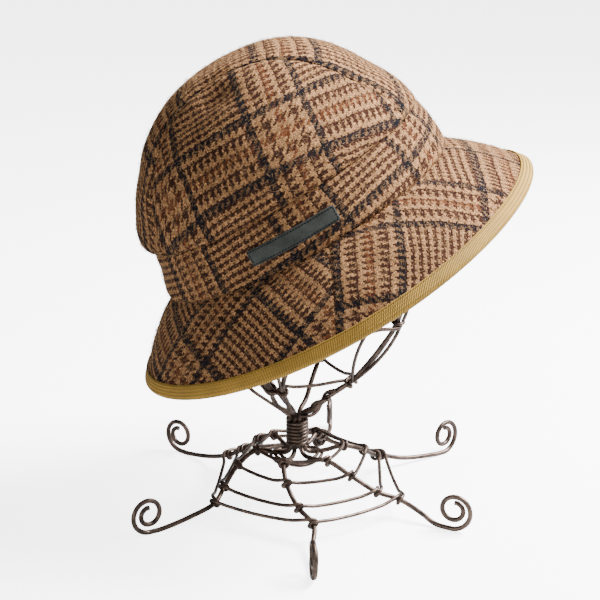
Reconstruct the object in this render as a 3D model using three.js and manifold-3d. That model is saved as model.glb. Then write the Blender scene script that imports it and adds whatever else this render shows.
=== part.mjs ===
// A brimmed tweed hat on a stand of bent wire. The hat is sewn from a three-piece crown, a band and a
// two-piece brim with a ribbon binding, and it sits tipped back on a wire cage that stands on six
// coiled feet. Millimetres, +Z up, +X towards the front of the hat, floor at Z = 0.
import * as THREE from 'three';
import { mergeVertices } from 'three/addons/utils/BufferGeometryUtils.js';
import Module from 'manifold-3d';

const wasm = await Module();
wasm.setup();

// Hat sizes, in the hat's own frame: origin in the middle of the brim seam, +X forward, +Z up. The rim
// reaches are how far the brim goes past the brim seam.
const seamHalfLength = 107;
const seamHalfWidth = 90;
const crownHeight = 122.5;
const bandHeight = 35;
const clothThickness = 2.4;
const brimThickness = 3;
const rimReachFront = 41.5;
const rimReachBack = 45;
const rimReachSide = 41;
const rimDropEnds = 39;
const rimDropSides = 46.5;
const brimSeamAtBand = 82;
const brimSeamAtRim = 93;
const stripHalfWidth = 31;
const stripFlareFront = 9;
const stripFlareBack = 24;
const sewnGap = 0.4;

// Ribbon binding folded round the rim, and the stitched patch on the right side of the band.
const bindingWidth = 7.5;
const ribbonThickness = 0.8;
const patchLength = 62;
const patchWidth = 10.5;
const patchThickness = 1.2;
const patchHeight = 16.5;
const patchSetBack = 1;
const patchEase = 1.5;
const patchLift = 0.6;

// How the hat sits on the stand.
const hatTiltDegrees = 30;
const hatRollDegrees = 2;
const hatShift = 1.2;
const seatClearance = 0.4;

// Wire stand.
const ribWire = 3.4;
const tieWire = 2.5;
const wireGap = 0.35;
const footRadius = 120;
const domeHeight = 38;
const neckLength = 24;
const coilTurns = 8;
const neckShift = -5.5;
const neckShiftReach = 70;
const spiralRadius = 13.5;
const spiralEndRadius = 5.3;
const spiralTurns = 1.5;
const cageClearance = 7.1;
const cageHeight = 247.5;

// Mesh fineness.
const hatColumns = 40;
const ringColumns = 24;
const wireSides = 6;
const tieSides = 5;
const legSteps = 13;
const footSteps = 18;
const staveSteps = 22;
const coilStepsPerTurn = 8;
const stripSteps = 8;
const patchSteps = 12;
const seatTrials = 24;

const degrees = Math.PI / 180;

// The cage goes up through the brim seam's oval, which the hat's tilt makes shorter from front to back.
const openingHalfLength = seamHalfLength * Math.cos(hatTiltDegrees * degrees);
const cageRadius = Math.min(seamHalfWidth, openingHalfLength) - clothThickness - cageClearance;

// Crown sections from the band to the top: height as a share of the crown above the band, then the
// reach forward, back and sideways as shares of the half sizes at the brim seam.
const CROWN_SECTIONS = [
  { up: 0.0, front: 0.962, back: 0.935, side: 0.95 },
  { up: 0.07, front: 0.958, back: 0.972, side: 0.965 },
  { up: 0.18, front: 0.934, back: 0.96, side: 0.955 },
  { up: 0.3, front: 0.888, back: 0.915, side: 0.92 },
  { up: 0.42, front: 0.826, back: 0.855, side: 0.868 },
  { up: 0.57, front: 0.75, back: 0.758, side: 0.782 },
  { up: 0.72, front: 0.65, back: 0.645, side: 0.67 },
  { up: 0.85, front: 0.518, back: 0.505, side: 0.54 },
  { up: 0.94, front: 0.36, back: 0.335, side: 0.385 },
  { up: 0.985, front: 0.19, back: 0.17, side: 0.21 },
];

// Soft hollows in the crown: bearing round it from the front, height share, and depth and spread as
// shares of the seam's half width and of a half turn or the crown's height.
const CROWN_HOLLOWS = [
  { bearing: 238, up: 0.86, depth: 0.035, spreadRound: 0.12, spreadUp: 0.09 },
  { bearing: 205, up: 0.2, depth: 0.018, spreadRound: 0.1, spreadUp: 0.08 },
  { bearing: 310, up: 0.5, depth: 0.014, spreadRound: 0.14, spreadUp: 0.14 },
  { bearing: 60, up: 0.62, depth: 0.018, spreadRound: 0.14, spreadUp: 0.12 },
];

// Band sections from the brim seam up, in the same columns.
const BAND_SECTIONS = [
  { up: 0.0, front: 1.0, back: 1.0, side: 1.0 },
  { up: 0.3, front: 0.998, back: 0.99, side: 0.994 },
  { up: 0.65, front: 0.988, back: 0.958, side: 0.972 },
  { up: 1.0, front: 0.963, back: 0.924, side: 0.948 },
];

// Brim sections from the seam to the rim: shares of the way out and of the way down.
const BRIM_SECTIONS = [
  { out: 0.0, down: 0.0 },
  { out: 0.3, down: 0.23 },
  { out: 0.62, down: 0.54 },
  { out: 0.86, down: 0.82 },
  { out: 1.0, down: 1.0 },
];

// Leg stations from the neck to the foot: shares of the foot radius, of the dome's height and of the
// turn from a wire's bearing in the neck to its bearing at the foot.
const LEG_STATIONS = [
  { out: 0.06, up: 0.94, turn: 0.0, ring: false },
  { out: 0.13, up: 0.93, turn: 0.0, ring: false },
  { out: 0.26, up: 1.0, turn: 0.1, ring: true },
  { out: 0.39, up: 0.8, turn: 0.42, ring: true },
  { out: 0.51, up: 0.51, turn: 0.8, ring: true },
  { out: 0.61, up: 0.35, turn: 1.08, ring: true },
  { out: 0.76, up: 0.18, turn: 1.04, ring: false },
];

// Stave stations from the neck to the top: shares of the cage's radius and height. A wire turns from
// its bearing in the neck to its own at the lowest tie, and over the next stations to that round the cage.
const STAVE_STATIONS = [
  { out: 0.17, up: 0.025, ring: false },
  { out: 0.3, up: 0.07, ring: false },
  { out: 0.47, up: 0.12, ring: true },
  { out: 0.65, up: 0.19, ring: false },
  { out: 0.78, up: 0.25, ring: false },
  { out: 0.92, up: 0.325, ring: true },
  { out: 0.985, up: 0.43, ring: false },
  { out: 1.0, up: 0.55, ring: false },
  { out: 0.96, up: 0.7, ring: true },
  { out: 0.82, up: 0.83, ring: false },
  { out: 0.6, up: 0.925, ring: false },
  { out: 0.34, up: 0.98, ring: true },
  { out: 0.13, up: 0.996, ring: false },
];

const FAN_STATIONS = 3;

// Where a foot lies flat on the floor, as shares of its spiral's radius from under the spiral's middle.
const FOOT_FLAT = [-0.5, -0.25, 0.0, 0.25];

// The six rib wires: how far the foot reaches as a share of the foot radius, and the bearings in
// degrees at the foot, in the neck, at the lowest cage ring, where some run in pairs, and round the cage.
const RIBS = [
  { name: '1', reach: 1.05, foot: 272, neck: 246, tie: 251, cage: 270 },
  { name: '2', reach: 0.96, foot: 331, neck: 306, tie: 329, cage: 325 },
  { name: '3', reach: 1.12, foot: 397, neck: 366, tie: 342, cage: 375 },
  { name: '4', reach: 1.08, foot: 441, neck: 426, tie: 430, cage: 445 },
  { name: '5', reach: 1.05, foot: 499, neck: 486, tie: 515, cage: 525 },
  { name: '6', reach: 1.02, foot: 570, neck: 546, tie: 598, cage: 575 },
];

const FINISHES = {
  tweed: { color: 0x9a6f49, roughness: 0.95, metalness: 0 },
  ribbon: { color: 0xb8862b, roughness: 0.6, metalness: 0 },
  patch: { color: 0x2e312c, roughness: 0.65, metalness: 0 },
  wire: { color: 0x4a3f38, roughness: 0.4, metalness: 0.9 },
};

// Closed bodies

function solidVolume(points, faces) {
  let six = 0;
  for (const [a, b, c] of faces) {
    six += points[a].dot(new THREE.Vector3().crossVectors(points[b], points[c]));
  }
  return six / 6;
}

function geometryOf(points, faces) {
  const outward = solidVolume(points, faces) > 0;
  const geometry = new THREE.BufferGeometry();
  const numbers = points.flatMap((p) => p.toArray());
  geometry.setAttribute('position', new THREE.Float32BufferAttribute(numbers, 3));
  geometry.setIndex(faces.flatMap(([a, b, c]) => (outward ? [a, b, c] : [a, c, b])));
  geometry.computeVertexNormals();
  return geometry;
}

// Joins even-sided sections in order. An open run is capped by pairing each section's two sides.
function loft(sections, closed) {
  const size = sections[0].length;
  const faces = [];
  const last = closed ? sections.length : sections.length - 1;
  for (let s = 0; s < last; s += 1) {
    const here = s * size;
    const next = ((s + 1) % sections.length) * size;
    for (let i = 0; i < size; i += 1) {
      const j = (i + 1) % size;
      faces.push([here + i, next + i, next + j], [here + i, next + j, here + j]);
    }
  }
  if (!closed) {
    const end = (sections.length - 1) * size;
    for (let i = 0; i < size / 2 - 1; i += 1) {
      const [a, b, c, d] = [i, i + 1, size - 2 - i, size - 1 - i];
      faces.push([a, b, c], [a, c, d], [end + a, end + c, end + b], [end + a, end + d, end + c]);
    }
  }
  return geometryOf(sections.flat(), faces);
}

// Rings in order between two poles, such as the outside and then the inside of a bowl.
function shellOf(firstPole, rings, lastPole) {
  const size = rings[0].length;
  const points = [firstPole, ...rings.flat(), lastPole];
  const faces = [];
  for (let i = 0; i < size; i += 1) {
    const j = (i + 1) % size;
    faces.push([0, 1 + i, 1 + j]);
    for (let r = 0; r < rings.length - 1; r += 1) {
      const here = 1 + r * size;
      const next = here + size;
      faces.push([here + i, next + i, next + j], [here + i, next + j, here + j]);
    }
    const end = 1 + (rings.length - 1) * size;
    faces.push([end + j, end + i, points.length - 1]);
  }
  return geometryOf(points, faces);
}

function manifoldOf(geometry) {
  const bare = geometry.clone();
  bare.deleteAttribute('normal');
  bare.deleteAttribute('uv');
  const merged = mergeVertices(bare);
  const vertProperties = Float32Array.from(merged.attributes.position.array);
  const triVerts = Uint32Array.from(merged.index.array);
  return new wasm.Manifold(new wasm.Mesh({ numProp: 3, vertProperties, triVerts }));
}

function geometryFrom(manifold) {
  const mesh = manifold.getMesh();
  const geometry = new THREE.BufferGeometry();
  geometry.setAttribute('position', new THREE.BufferAttribute(Float32Array.from(mesh.vertProperties), 3));
  geometry.setIndex(new THREE.BufferAttribute(Uint32Array.from(mesh.triVerts), 1));
  geometry.computeVertexNormals();
  return geometry;
}

// Oval surfaces of the hat. A section has a point {r, z} on its front, back and side profiles.

const PROFILES = ['front', 'back', 'side'];

function sectionsFrom(table, height, base, halfLength, halfWidth) {
  return table.map((row) => {
    const z = base + row.up * height;
    return {
      front: { r: row.front * halfLength, z },
      back: { r: row.back * halfLength, z },
      side: { r: row.side * halfWidth, z },
    };
  });
}

// The same sections moved inwards through the wall, square to each profile.
function inset(sections, wall) {
  return sections.map((section, i) => {
    const before = sections[Math.max(i - 1, 0)];
    const after = sections[Math.min(i + 1, sections.length - 1)];
    const moved = {};
    for (const key of PROFILES) {
      const dr = after[key].r - before[key].r;
      const dz = after[key].z - before[key].z;
      const length = Math.hypot(dr, dz);
      moved[key] = { r: section[key].r - (wall * Math.abs(dz)) / length, z: section[key].z };
      moved[key].z += (wall * dr * Math.sign(dz)) / length;
    }
    return moved;
  });
}

function ovalPoint(section, angle) {
  const c = Math.cos(angle);
  const s = Math.sin(angle);
  const end = c > 0 ? section.front : section.back;
  return new THREE.Vector3(end.r * c, section.side.r * s, end.z * c * c + section.side.z * s * s);
}

function ovalRing(section, columns) {
  return Array.from({ length: columns }, (_, i) => ovalPoint(section, (i / columns) * 2 * Math.PI));
}

const crownBase = bandHeight + sewnGap;
const crownRise = crownHeight - crownBase;
const crownOuter = sectionsFrom(CROWN_SECTIONS, crownRise, crownBase, seamHalfLength, seamHalfWidth);
const crownInner = inset(crownOuter, clothThickness);
const bandOuter = sectionsFrom(BAND_SECTIONS, bandHeight, 0, seamHalfLength, seamHalfWidth);
const bandInner = inset(bandOuter, clothThickness);

function brimSections() {
  return BRIM_SECTIONS.map(({ out, down }) => {
    const [endZ, sideZ] = [rimDropEnds, rimDropSides].map((drop) => -sewnGap - down * drop);
    return {
      front: { r: seamHalfLength + out * rimReachFront, z: endZ },
      back: { r: seamHalfLength + out * rimReachBack, z: endZ },
      side: { r: seamHalfWidth + out * rimReachSide, z: sideZ },
    };
  });
}
const brimTop = brimSections();
const brimUnder = inset(brimTop, brimThickness);

// Presses the soft hollows into a point of the crown.
function pressHollows(point) {
  const bearing = Math.atan2(point.y, point.x) / degrees;
  const up = (point.z - crownBase) / crownRise;
  let depth = 0;
  for (const hollow of CROWN_HOLLOWS) {
    const away = THREE.MathUtils.euclideanModulo(bearing - hollow.bearing + 180, 360) - 180;
    const round = away / 180 / hollow.spreadRound;
    const high = (up - hollow.up) / hollow.spreadUp;
    depth += hollow.depth * seamHalfWidth * Math.exp(-round * round - high * high);
  }
  const length = Math.hypot(point.x, point.y, point.z);
  return point.clone().multiplyScalar(1 - depth / length);
}

// Crown: one dome-shaped wall, cut along its two long seams into a centre strip and two side panels.
function crownShell() {
  const outer = crownOuter.map((s) => ovalRing(s, hatColumns).map(pressHollows)).reverse();
  const inner = crownInner.map((s) => ovalRing(s, hatColumns).map(pressHollows));
  const topOutside = new THREE.Vector3(0, 0, crownHeight);
  const topInside = new THREE.Vector3(0, 0, crownHeight - clothThickness);
  return manifoldOf(shellOf(topOutside, [...outer, ...inner], topInside));
}

// The plan of the centre strip, which widens from the middle towards the front and the back.
function stripBlade(extra) {
  const edge = Array.from({ length: stripSteps + 1 }, (_, i) => {
    const along = (i / stripSteps) * 2 - 1;
    const flare = (along > 0 ? stripFlareFront : stripFlareBack) * along ** 2;
    return new THREE.Vector2(along * (seamHalfLength + brimThickness), stripHalfWidth + flare + extra);
  });
  const shape = new THREE.Shape([...edge, ...edge.map((p) => new THREE.Vector2(p.x, -p.y)).reverse()]);
  const depth = crownHeight + brimThickness;
  return manifoldOf(new THREE.ExtrudeGeometry(shape, { depth, bevelEnabled: false }));
}

function sideBlock(direction) {
  const size = 2 * (seamHalfLength + seamHalfWidth + crownHeight);
  const block = new THREE.BoxGeometry(size, size, size);
  block.translate(0, (direction * size) / 2, 0);
  return manifoldOf(block);
}

const shell = crownShell();
const strip = shell.intersect(stripBlade(-sewnGap / 2));
const aroundStrip = shell.subtract(stripBlade(sewnGap / 2));
const rightSide = aroundStrip.intersect(sideBlock(-1));
const leftSide = aroundStrip.intersect(sideBlock(1));

// Band: a wall all round, one closed loft of upright sections.
function bandGeometry() {
  const sections = Array.from({ length: hatColumns }, (_, i) => {
    const angle = (i / hatColumns) * 2 * Math.PI;
    const outer = bandOuter.map((s) => ovalPoint(s, angle));
    const inner = bandInner.map((s) => ovalPoint(s, angle)).reverse();
    return [...outer, ...inner];
  });
  return loft(sections, true);
}

// Brim: two halves that meet in a seam at each side, which runs back a little from band to rim.
function brimHalf(isFront) {
  const columns = hatColumns / 2;
  const gapAngle = sewnGap / 2 / seamHalfWidth;
  const sections = Array.from({ length: columns + 1 }, (_, i) => {
    const edge = (i / columns) * 2 - 1;
    const angleAt = (row) => {
      const seam = THREE.MathUtils.lerp(brimSeamAtBand, brimSeamAtRim, BRIM_SECTIONS[row].out) * degrees;
      return isFront ? edge * (seam - gapAngle) : Math.PI + edge * (Math.PI - seam - gapAngle);
    };
    const top = brimTop.map((s, row) => ovalPoint(s, angleAt(row)));
    const under = brimUnder.map((s, row) => ovalPoint(s, angleAt(row))).reverse();
    return [...top, ...under];
  });
  return loft(sections, false);
}

// Binding: a ribbon folded round the rim, so its section is a U with a rounded nose.
function bindingGeometry() {
  const inside = brimThickness / 2 + sewnGap;
  const outside = inside + ribbonThickness;
  const nose = sewnGap + ribbonThickness;
  const fold = [
    [-bindingWidth, outside],
    [0, outside],
    [nose, inside / 2],
    [nose, -inside / 2],
    [0, -outside],
    [-bindingWidth, -outside],
    [-bindingWidth, -inside],
    [sewnGap, -inside],
    [sewnGap, inside],
    [-bindingWidth, inside],
  ];
  const last = brimTop.length - 1;
  const sections = Array.from({ length: hatColumns }, (_, i) => {
    const angle = (i / hatColumns) * 2 * Math.PI;
    const top = ovalPoint(brimTop[last], angle);
    const under = ovalPoint(brimUnder[last], angle);
    const outwards = top.clone().sub(ovalPoint(brimTop[last - 1], angle)).normalize();
    const upwards = top.clone().sub(under).projectOnPlane(outwards).normalize();
    const middle = top.clone().add(under).multiplyScalar(0.5);
    return fold.map(([along, up]) => {
      return middle.clone().addScaledVector(outwards, along).addScaledVector(upwards, up);
    });
  });
  return loft(sections, true);
}

// Patch: a thin strip with eased corners that follows the right side of the band.
function bandPointAt(x, height) {
  const below = Math.max(0, bandOuter.findLastIndex((section) => section.side.z < height));
  const [a, b] = [bandOuter[below], bandOuter[Math.min(below + 1, bandOuter.length - 1)]];
  const t = Math.min(1, (height - a.side.z) / Math.max(sewnGap, b.side.z - a.side.z));
  const end = x > 0 ? 'front' : 'back';
  const halfLength = THREE.MathUtils.lerp(a[end].r, b[end].r, t);
  const halfWidth = THREE.MathUtils.lerp(a.side.r, b.side.r, t);
  const slope = Math.sqrt(1 - (x / halfLength) ** 2);
  const point = new THREE.Vector3(x, -halfWidth * slope, height);
  const normal = new THREE.Vector3(x / halfLength ** 2, -slope / halfWidth, 0).normalize();
  return { point, normal };
}

function patchGeometry() {
  const sections = Array.from({ length: patchSteps + 1 }, (_, i) => {
    const x = -patchSetBack + (i / patchSteps - 0.5) * patchLength;
    const isEnd = i === 0 || i === patchSteps;
    const half = patchWidth / 2 - (isEnd ? patchEase : 0);
    const corner = (height, lift) => {
      const { point, normal } = bandPointAt(x, height);
      return point.addScaledVector(normal, lift);
    };
    const [low, high] = [patchHeight - half, patchHeight + half];
    const far = patchLift + patchThickness;
    return [corner(low, far), corner(high, far), corner(high, patchLift), corner(low, patchLift)];
  });
  return loft(sections, false);
}

// Wires. A path point is { r, bearing, z } round the stand's axis, which leans back to the neck.

const ribRadius = ribWire / 2;
const tieRadius = tieWire / 2;
const bundleRadius = (ribWire + wireGap) / (2 * Math.sin(Math.PI / RIBS.length));
const neckBase = domeHeight + ribRadius + wireGap;
const neckTop = neckBase + neckLength;
const splitHeight = neckBase + neckLength / 2;

function axisShift(r) {
  return neckShift * Math.max(0, 1 - Math.max(0, r - bundleRadius) / neckShiftReach);
}

function placed({ r, bearing, z, shift = axisShift(r) }) {
  return new THREE.Vector3(shift + r * Math.cos(bearing * degrees), r * Math.sin(bearing * degrees), z);
}

// Sweeps a hexagon with a flat underside along a path that keeps near its own upright plane.
function wireAlong(points, radius) {
  const sections = points.map((point, i) => {
    const [before, after] = [points[Math.max(i - 1, 0)], points[Math.min(i + 1, points.length - 1)]];
    const tangent = after.clone().sub(before).normalize();
    const bearing = Math.atan2(point.y, point.x - neckShift);
    const around = new THREE.Vector3(-Math.sin(bearing), Math.cos(bearing), 0);
    const side = around.projectOnPlane(tangent).normalize();
    const rise = new THREE.Vector3().crossVectors(side, tangent);
    return Array.from({ length: wireSides }, (_, k) => {
      const angle = ((k + 0.5) / wireSides) * 2 * Math.PI;
      return point
        .clone()
        .addScaledVector(rise, radius * Math.cos(angle))
        .addScaledVector(side, radius * Math.sin(angle));
    });
  });
  return loft(sections, false);
}

// Even steps along a smooth curve through the stations.
function smoothPath(stations, steps) {
  const curve = new THREE.CatmullRomCurve3(stations.map(placed), false, 'centripetal');
  return curve.getSpacedPoints(steps);
}

const footFlat = ribRadius * Math.cos(Math.PI / wireSides);

function legPath(rib) {
  const reach = footRadius * rib.reach;
  const top = { r: bundleRadius, bearing: rib.neck, z: splitHeight - wireGap / 2 };
  const stations = [
    { r: bundleRadius, bearing: rib.neck, z: neckBase },
    ...LEG_STATIONS.map(({ out, up, turn }) => ({
      r: out * footRadius,
      bearing: THREE.MathUtils.lerp(rib.neck, rib.foot, turn),
      z: up * domeHeight,
    })),
    { r: reach - spiralRadius, bearing: rib.foot, z: footFlat + ribRadius / 2 },
  ];
  const down = smoothPath(stations, legSteps);
  const flat = FOOT_FLAT.map((share) => ({
    r: reach + share * spiralRadius,
    bearing: rib.foot,
    z: footFlat,
  }));
  const start = Math.asin(FOOT_FLAT.at(-1)) / (2 * Math.PI);
  const spiral = Array.from({ length: footSteps }, (_, i) => {
    const share = (i + 1) / footSteps;
    const turn = THREE.MathUtils.lerp(start, spiralTurns, share);
    const radius = spiralRadius * (spiralEndRadius / spiralRadius) ** share;
    const angle = turn * 2 * Math.PI - Math.PI / 2;
    const z = footFlat + spiralRadius + radius * Math.sin(angle);
    return { r: reach + radius * Math.cos(angle), bearing: rib.foot, z };
  });
  return [placed(top), ...down.slice(0, -1), ...flat.map(placed), ...spiral.map(placed)];
}

function stavePath(rib) {
  const tied = STAVE_STATIONS.findIndex((station) => station.ring);
  const bearingAt = (i) => {
    if (i <= tied) return THREE.MathUtils.lerp(rib.neck, rib.tie, (i + 1) / (tied + 1));
    return THREE.MathUtils.lerp(rib.tie, rib.cage, Math.min(1, (i - tied) / FAN_STATIONS));
  };
  const foot = { r: bundleRadius, bearing: rib.neck, z: splitHeight + wireGap / 2 };
  const stations = [
    { r: bundleRadius, bearing: rib.neck, z: neckTop },
    ...STAVE_STATIONS.map(({ out, up }, i) => ({
      r: out * cageRadius,
      bearing: bearingAt(i),
      z: neckTop + up * cageHeight,
    })),
  ];
  return [placed(foot), ...smoothPath(stations, staveSteps)];
}

// Where a tie circles the ribs, against their outside, at each station that carries one.
function tieCircles(stations, radius, height, base) {
  const lift = ribRadius + tieRadius + wireGap;
  const tied = stations.map((_, i) => i).filter((i) => stations[i].ring);
  return tied.map((i) => {
    const along = (stations[i + 1].out - stations[i - 1].out) * radius;
    const rise = (stations[i + 1].up - stations[i - 1].up) * height;
    const length = Math.hypot(along, rise);
    return {
      radius: stations[i].out * radius + (lift * Math.abs(rise)) / length,
      height: base + stations[i].up * height - (lift * along * Math.sign(rise)) / length,
      shift: axisShift(stations[i].out * radius),
    };
  });
}

function tieRing(circle) {
  const profile = Array.from({ length: tieSides + 1 }, (_, k) => {
    const angle = ((k % tieSides) / tieSides) * 2 * Math.PI;
    const out = circle.radius + tieRadius * Math.cos(angle);
    return new THREE.Vector2(out, circle.height + tieRadius * Math.sin(angle));
  });
  const ring = new THREE.LatheGeometry(profile, ringColumns);
  ring.rotateX(Math.PI / 2);
  ring.translate(circle.shift, 0, 0);
  return geometryFrom(manifoldOf(ring));
}

const baseCircles = tieCircles(LEG_STATIONS, footRadius, domeHeight, 0);
const cageCircles = tieCircles(STAVE_STATIONS, cageRadius, cageHeight, neckTop);

// The close coil that binds the ribs at the neck.
function coilGeometry() {
  const coilRadius = bundleRadius + ribRadius + wireGap + tieRadius;
  const pitch = (neckLength - tieWire - ribRadius - wireGap) / coilTurns;
  const turnHalfHeight = Math.min(tieRadius, (pitch - wireGap) / 2 / Math.cos(Math.PI / wireSides));
  const steps = coilTurns * coilStepsPerTurn;
  const sections = Array.from({ length: steps + 1 }, (_, i) => {
    const angle = (i / coilStepsPerTurn) * 2 * Math.PI;
    const middle = neckBase + tieRadius + (i / coilStepsPerTurn) * pitch;
    const outwards = new THREE.Vector3(Math.cos(angle), Math.sin(angle), 0);
    const section = [];
    for (let k = 0; k < wireSides; k += 1) {
      const round = ((k + 0.5) / wireSides) * 2 * Math.PI;
      const point = outwards.clone().multiplyScalar(coilRadius + tieRadius * Math.cos(round));
      point.x += neckShift;
      point.z = middle + turnHalfHeight * Math.sin(round);
      section.push(point);
    }
    return section;
  });
  return loft(sections, false);
}

// Seating: the hat comes down over the cage until the next step would press a wire into the crown, the
// band or the inner edge of the brim.

function hatPlacement(height) {
  const turn = new THREE.Euler(hatRollDegrees * degrees, -hatTiltDegrees * degrees, 0);
  const place = new THREE.Vector3(hatShift, 0, height);
  return new THREE.Matrix4().makeRotationFromEuler(turn).setPosition(place);
}

function fitsInHat(point, wireRadius) {
  const spare = wireRadius + seatClearance;
  const top = crownHeight - clothThickness - spare;
  if (point.z < brimUnder[0].side.z - spare) return true;
  if (point.z > top) return false;
  const levels = [...bandInner, ...crownInner].map((s) => [s.side.z - spare, s]);
  const above = levels.findIndex(([z]) => z > point.z);
  const [z1, high] = above < 0 ? [top, null] : levels[above];
  const [z0, low] = above < 0 ? levels.at(-1) : levels[Math.max(above - 1, 0)];
  const t = z1 > z0 ? (point.z - z0) / (z1 - z0) : 0;
  const reach = (key) => THREE.MathUtils.lerp(low[key].r, high ? high[key].r : 0, t) - spare;
  const end = reach(point.x > 0 ? 'front' : 'back');
  return (point.x / end) ** 2 + (point.y / reach('side')) ** 2 < 1;
}

function seatHeight() {
  const staves = RIBS.flatMap((rib) => stavePath(rib));
  const ties = cageCircles.flatMap(({ radius, height, shift }) =>
    Array.from({ length: ringColumns }, (_, i) => {
      return placed({ r: radius, bearing: (i / ringColumns) * 360, z: height, shift });
    }),
  );
  const clears = (height) => {
    const back = hatPlacement(height).invert();
    const inside = (points, radius) => points.every((p) => fitsInHat(p.clone().applyMatrix4(back), radius));
    return inside(staves, ribRadius) && inside(ties, tieRadius);
  };
  let low = neckTop;
  let high = neckTop + cageHeight;
  for (let i = 0; i < seatTrials; i += 1) {
    const middle = (low + high) / 2;
    if (clears(middle)) high = middle;
    else low = middle;
  }
  return high;
}

// Assembly

function part(name, geometry, finish) {
  const material = new THREE.MeshStandardMaterial({ name: finish, ...FINISHES[finish] });
  const mesh = new THREE.Mesh(geometry, material);
  mesh.name = name;
  return mesh;
}

const hat = new THREE.Group();
hat.add(part('crown_centre_strip', geometryFrom(strip), 'tweed'));
hat.add(part('crown_right_panel', geometryFrom(rightSide), 'tweed'));
hat.add(part('crown_left_panel', geometryFrom(leftSide), 'tweed'));
hat.add(part('hat_band', bandGeometry(), 'tweed'));
hat.add(part('brim_front', brimHalf(true), 'tweed'));
hat.add(part('brim_back', brimHalf(false), 'tweed'));
hat.add(part('brim_binding', bindingGeometry(), 'ribbon'));
hat.add(part('side_patch', patchGeometry(), 'patch'));
hat.applyMatrix4(hatPlacement(seatHeight()));

const stand = new THREE.Group();
for (const rib of RIBS) {
  stand.add(part(`stand_leg_${rib.name}`, wireAlong(legPath(rib), ribRadius), 'wire'));
  stand.add(part(`cage_stave_${rib.name}`, wireAlong(stavePath(rib), ribRadius), 'wire'));
}
baseCircles.forEach((circle, i) => {
  stand.add(part(`base_ring_${i + 1}`, tieRing(circle), 'wire'));
});
cageCircles.forEach((circle, i) => {
  stand.add(part(`cage_ring_${i + 1}`, tieRing(circle), 'wire'));
});
stand.add(part('neck_coil', coilGeometry(), 'wire'));

// The origin is under the middle of the whole object's box.
const object = new THREE.Group();
object.add(hat, stand);
object.updateMatrixWorld(true);
const box = new THREE.Box3().setFromObject(object, true);
const middle = box.getCenter(new THREE.Vector3());
object.position.set(-middle.x, -middle.y, -box.min.z);
object.updateMatrixWorld(true);

export default object;
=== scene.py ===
"""A checked tweed hat, tipped back on a stand of bent wire. Every piece is made in metres around the frame."""
import math

import bmesh
import bpy
import numpy as np
from bpy.props import FloatProperty, FloatVectorProperty, IntProperty, PointerProperty
from mathutils import Matrix, Vector


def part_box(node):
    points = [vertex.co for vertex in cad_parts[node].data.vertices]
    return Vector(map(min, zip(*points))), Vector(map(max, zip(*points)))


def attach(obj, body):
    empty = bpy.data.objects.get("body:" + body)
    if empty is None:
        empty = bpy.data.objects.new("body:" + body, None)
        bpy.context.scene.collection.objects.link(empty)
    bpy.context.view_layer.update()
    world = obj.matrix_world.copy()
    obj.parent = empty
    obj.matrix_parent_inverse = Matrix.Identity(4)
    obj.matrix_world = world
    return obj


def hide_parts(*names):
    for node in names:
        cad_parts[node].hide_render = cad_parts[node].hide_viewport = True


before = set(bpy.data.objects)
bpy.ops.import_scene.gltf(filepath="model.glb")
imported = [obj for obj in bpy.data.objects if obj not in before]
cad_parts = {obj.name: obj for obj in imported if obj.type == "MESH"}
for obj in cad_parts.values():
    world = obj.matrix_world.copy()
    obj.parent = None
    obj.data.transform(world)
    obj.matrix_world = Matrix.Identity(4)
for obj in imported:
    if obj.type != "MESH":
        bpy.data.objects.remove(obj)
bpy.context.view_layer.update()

bl_info = {
    "name": "Tweed Hat and Wire Stand",
    "version": (1, 0, 0),
    "blender": (4, 5, 0),
    "location": "View3D > Sidebar > Hat",
    "description": "Makes a checked tweed hat and the bent wire stand that holds it",
    "category": "Add Mesh",
}

MM = 0.001
FULL_TURN = 2 * math.pi
BODY = "root"
CLOTH_UV = "cloth"

# The hat's own axes: origin in the middle of the brim seam, +X to the front, +Y to its left, +Z up.
HAT_TILT = math.radians(-30)
HAT_ROLL = math.radians(2)
HAT_TURN = Matrix.Rotation(HAT_ROLL, 3, "X") @ Matrix.Rotation(HAT_TILT, 3, "Y")


def node_points(node):
    """A node's vertices in metres, as rows."""
    return np.array([v.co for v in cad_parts[node].data.vertices], float)


def hat_box(*nodes):
    """Lowest and highest corner of some nodes along the hat's own axes, in millimetres."""
    points = np.concatenate([node_points(n) for n in nodes]) @ np.array(HAT_TURN) / MM
    return points.min(0), points.max(0)


BAND_LOW, BAND_HIGH = hat_box("hat_band")
HAT_ORIGIN = np.array([*((BAND_LOW + BAND_HIGH) / 2)[:2], BAND_LOW[2]])
SEAM_HALF_LENGTH, SEAM_HALF_WIDTH = (BAND_HIGH - BAND_LOW)[:2] / 2
BAND_HEIGHT = (BAND_HIGH - BAND_LOW)[2]
CROWN_HEIGHT = (hat_box("crown_centre_strip")[1] - HAT_ORIGIN)[2]
RIM_LOW, RIM_HIGH = (corner - HAT_ORIGIN for corner in hat_box("brim_front", "brim_back"))


def to_world(points):
    """Points along the hat's axes in millimetres, placed in the row frame in metres."""
    return ((np.asarray(points, float) + HAT_ORIGIN) @ np.array(HAT_TURN).T) * MM


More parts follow.
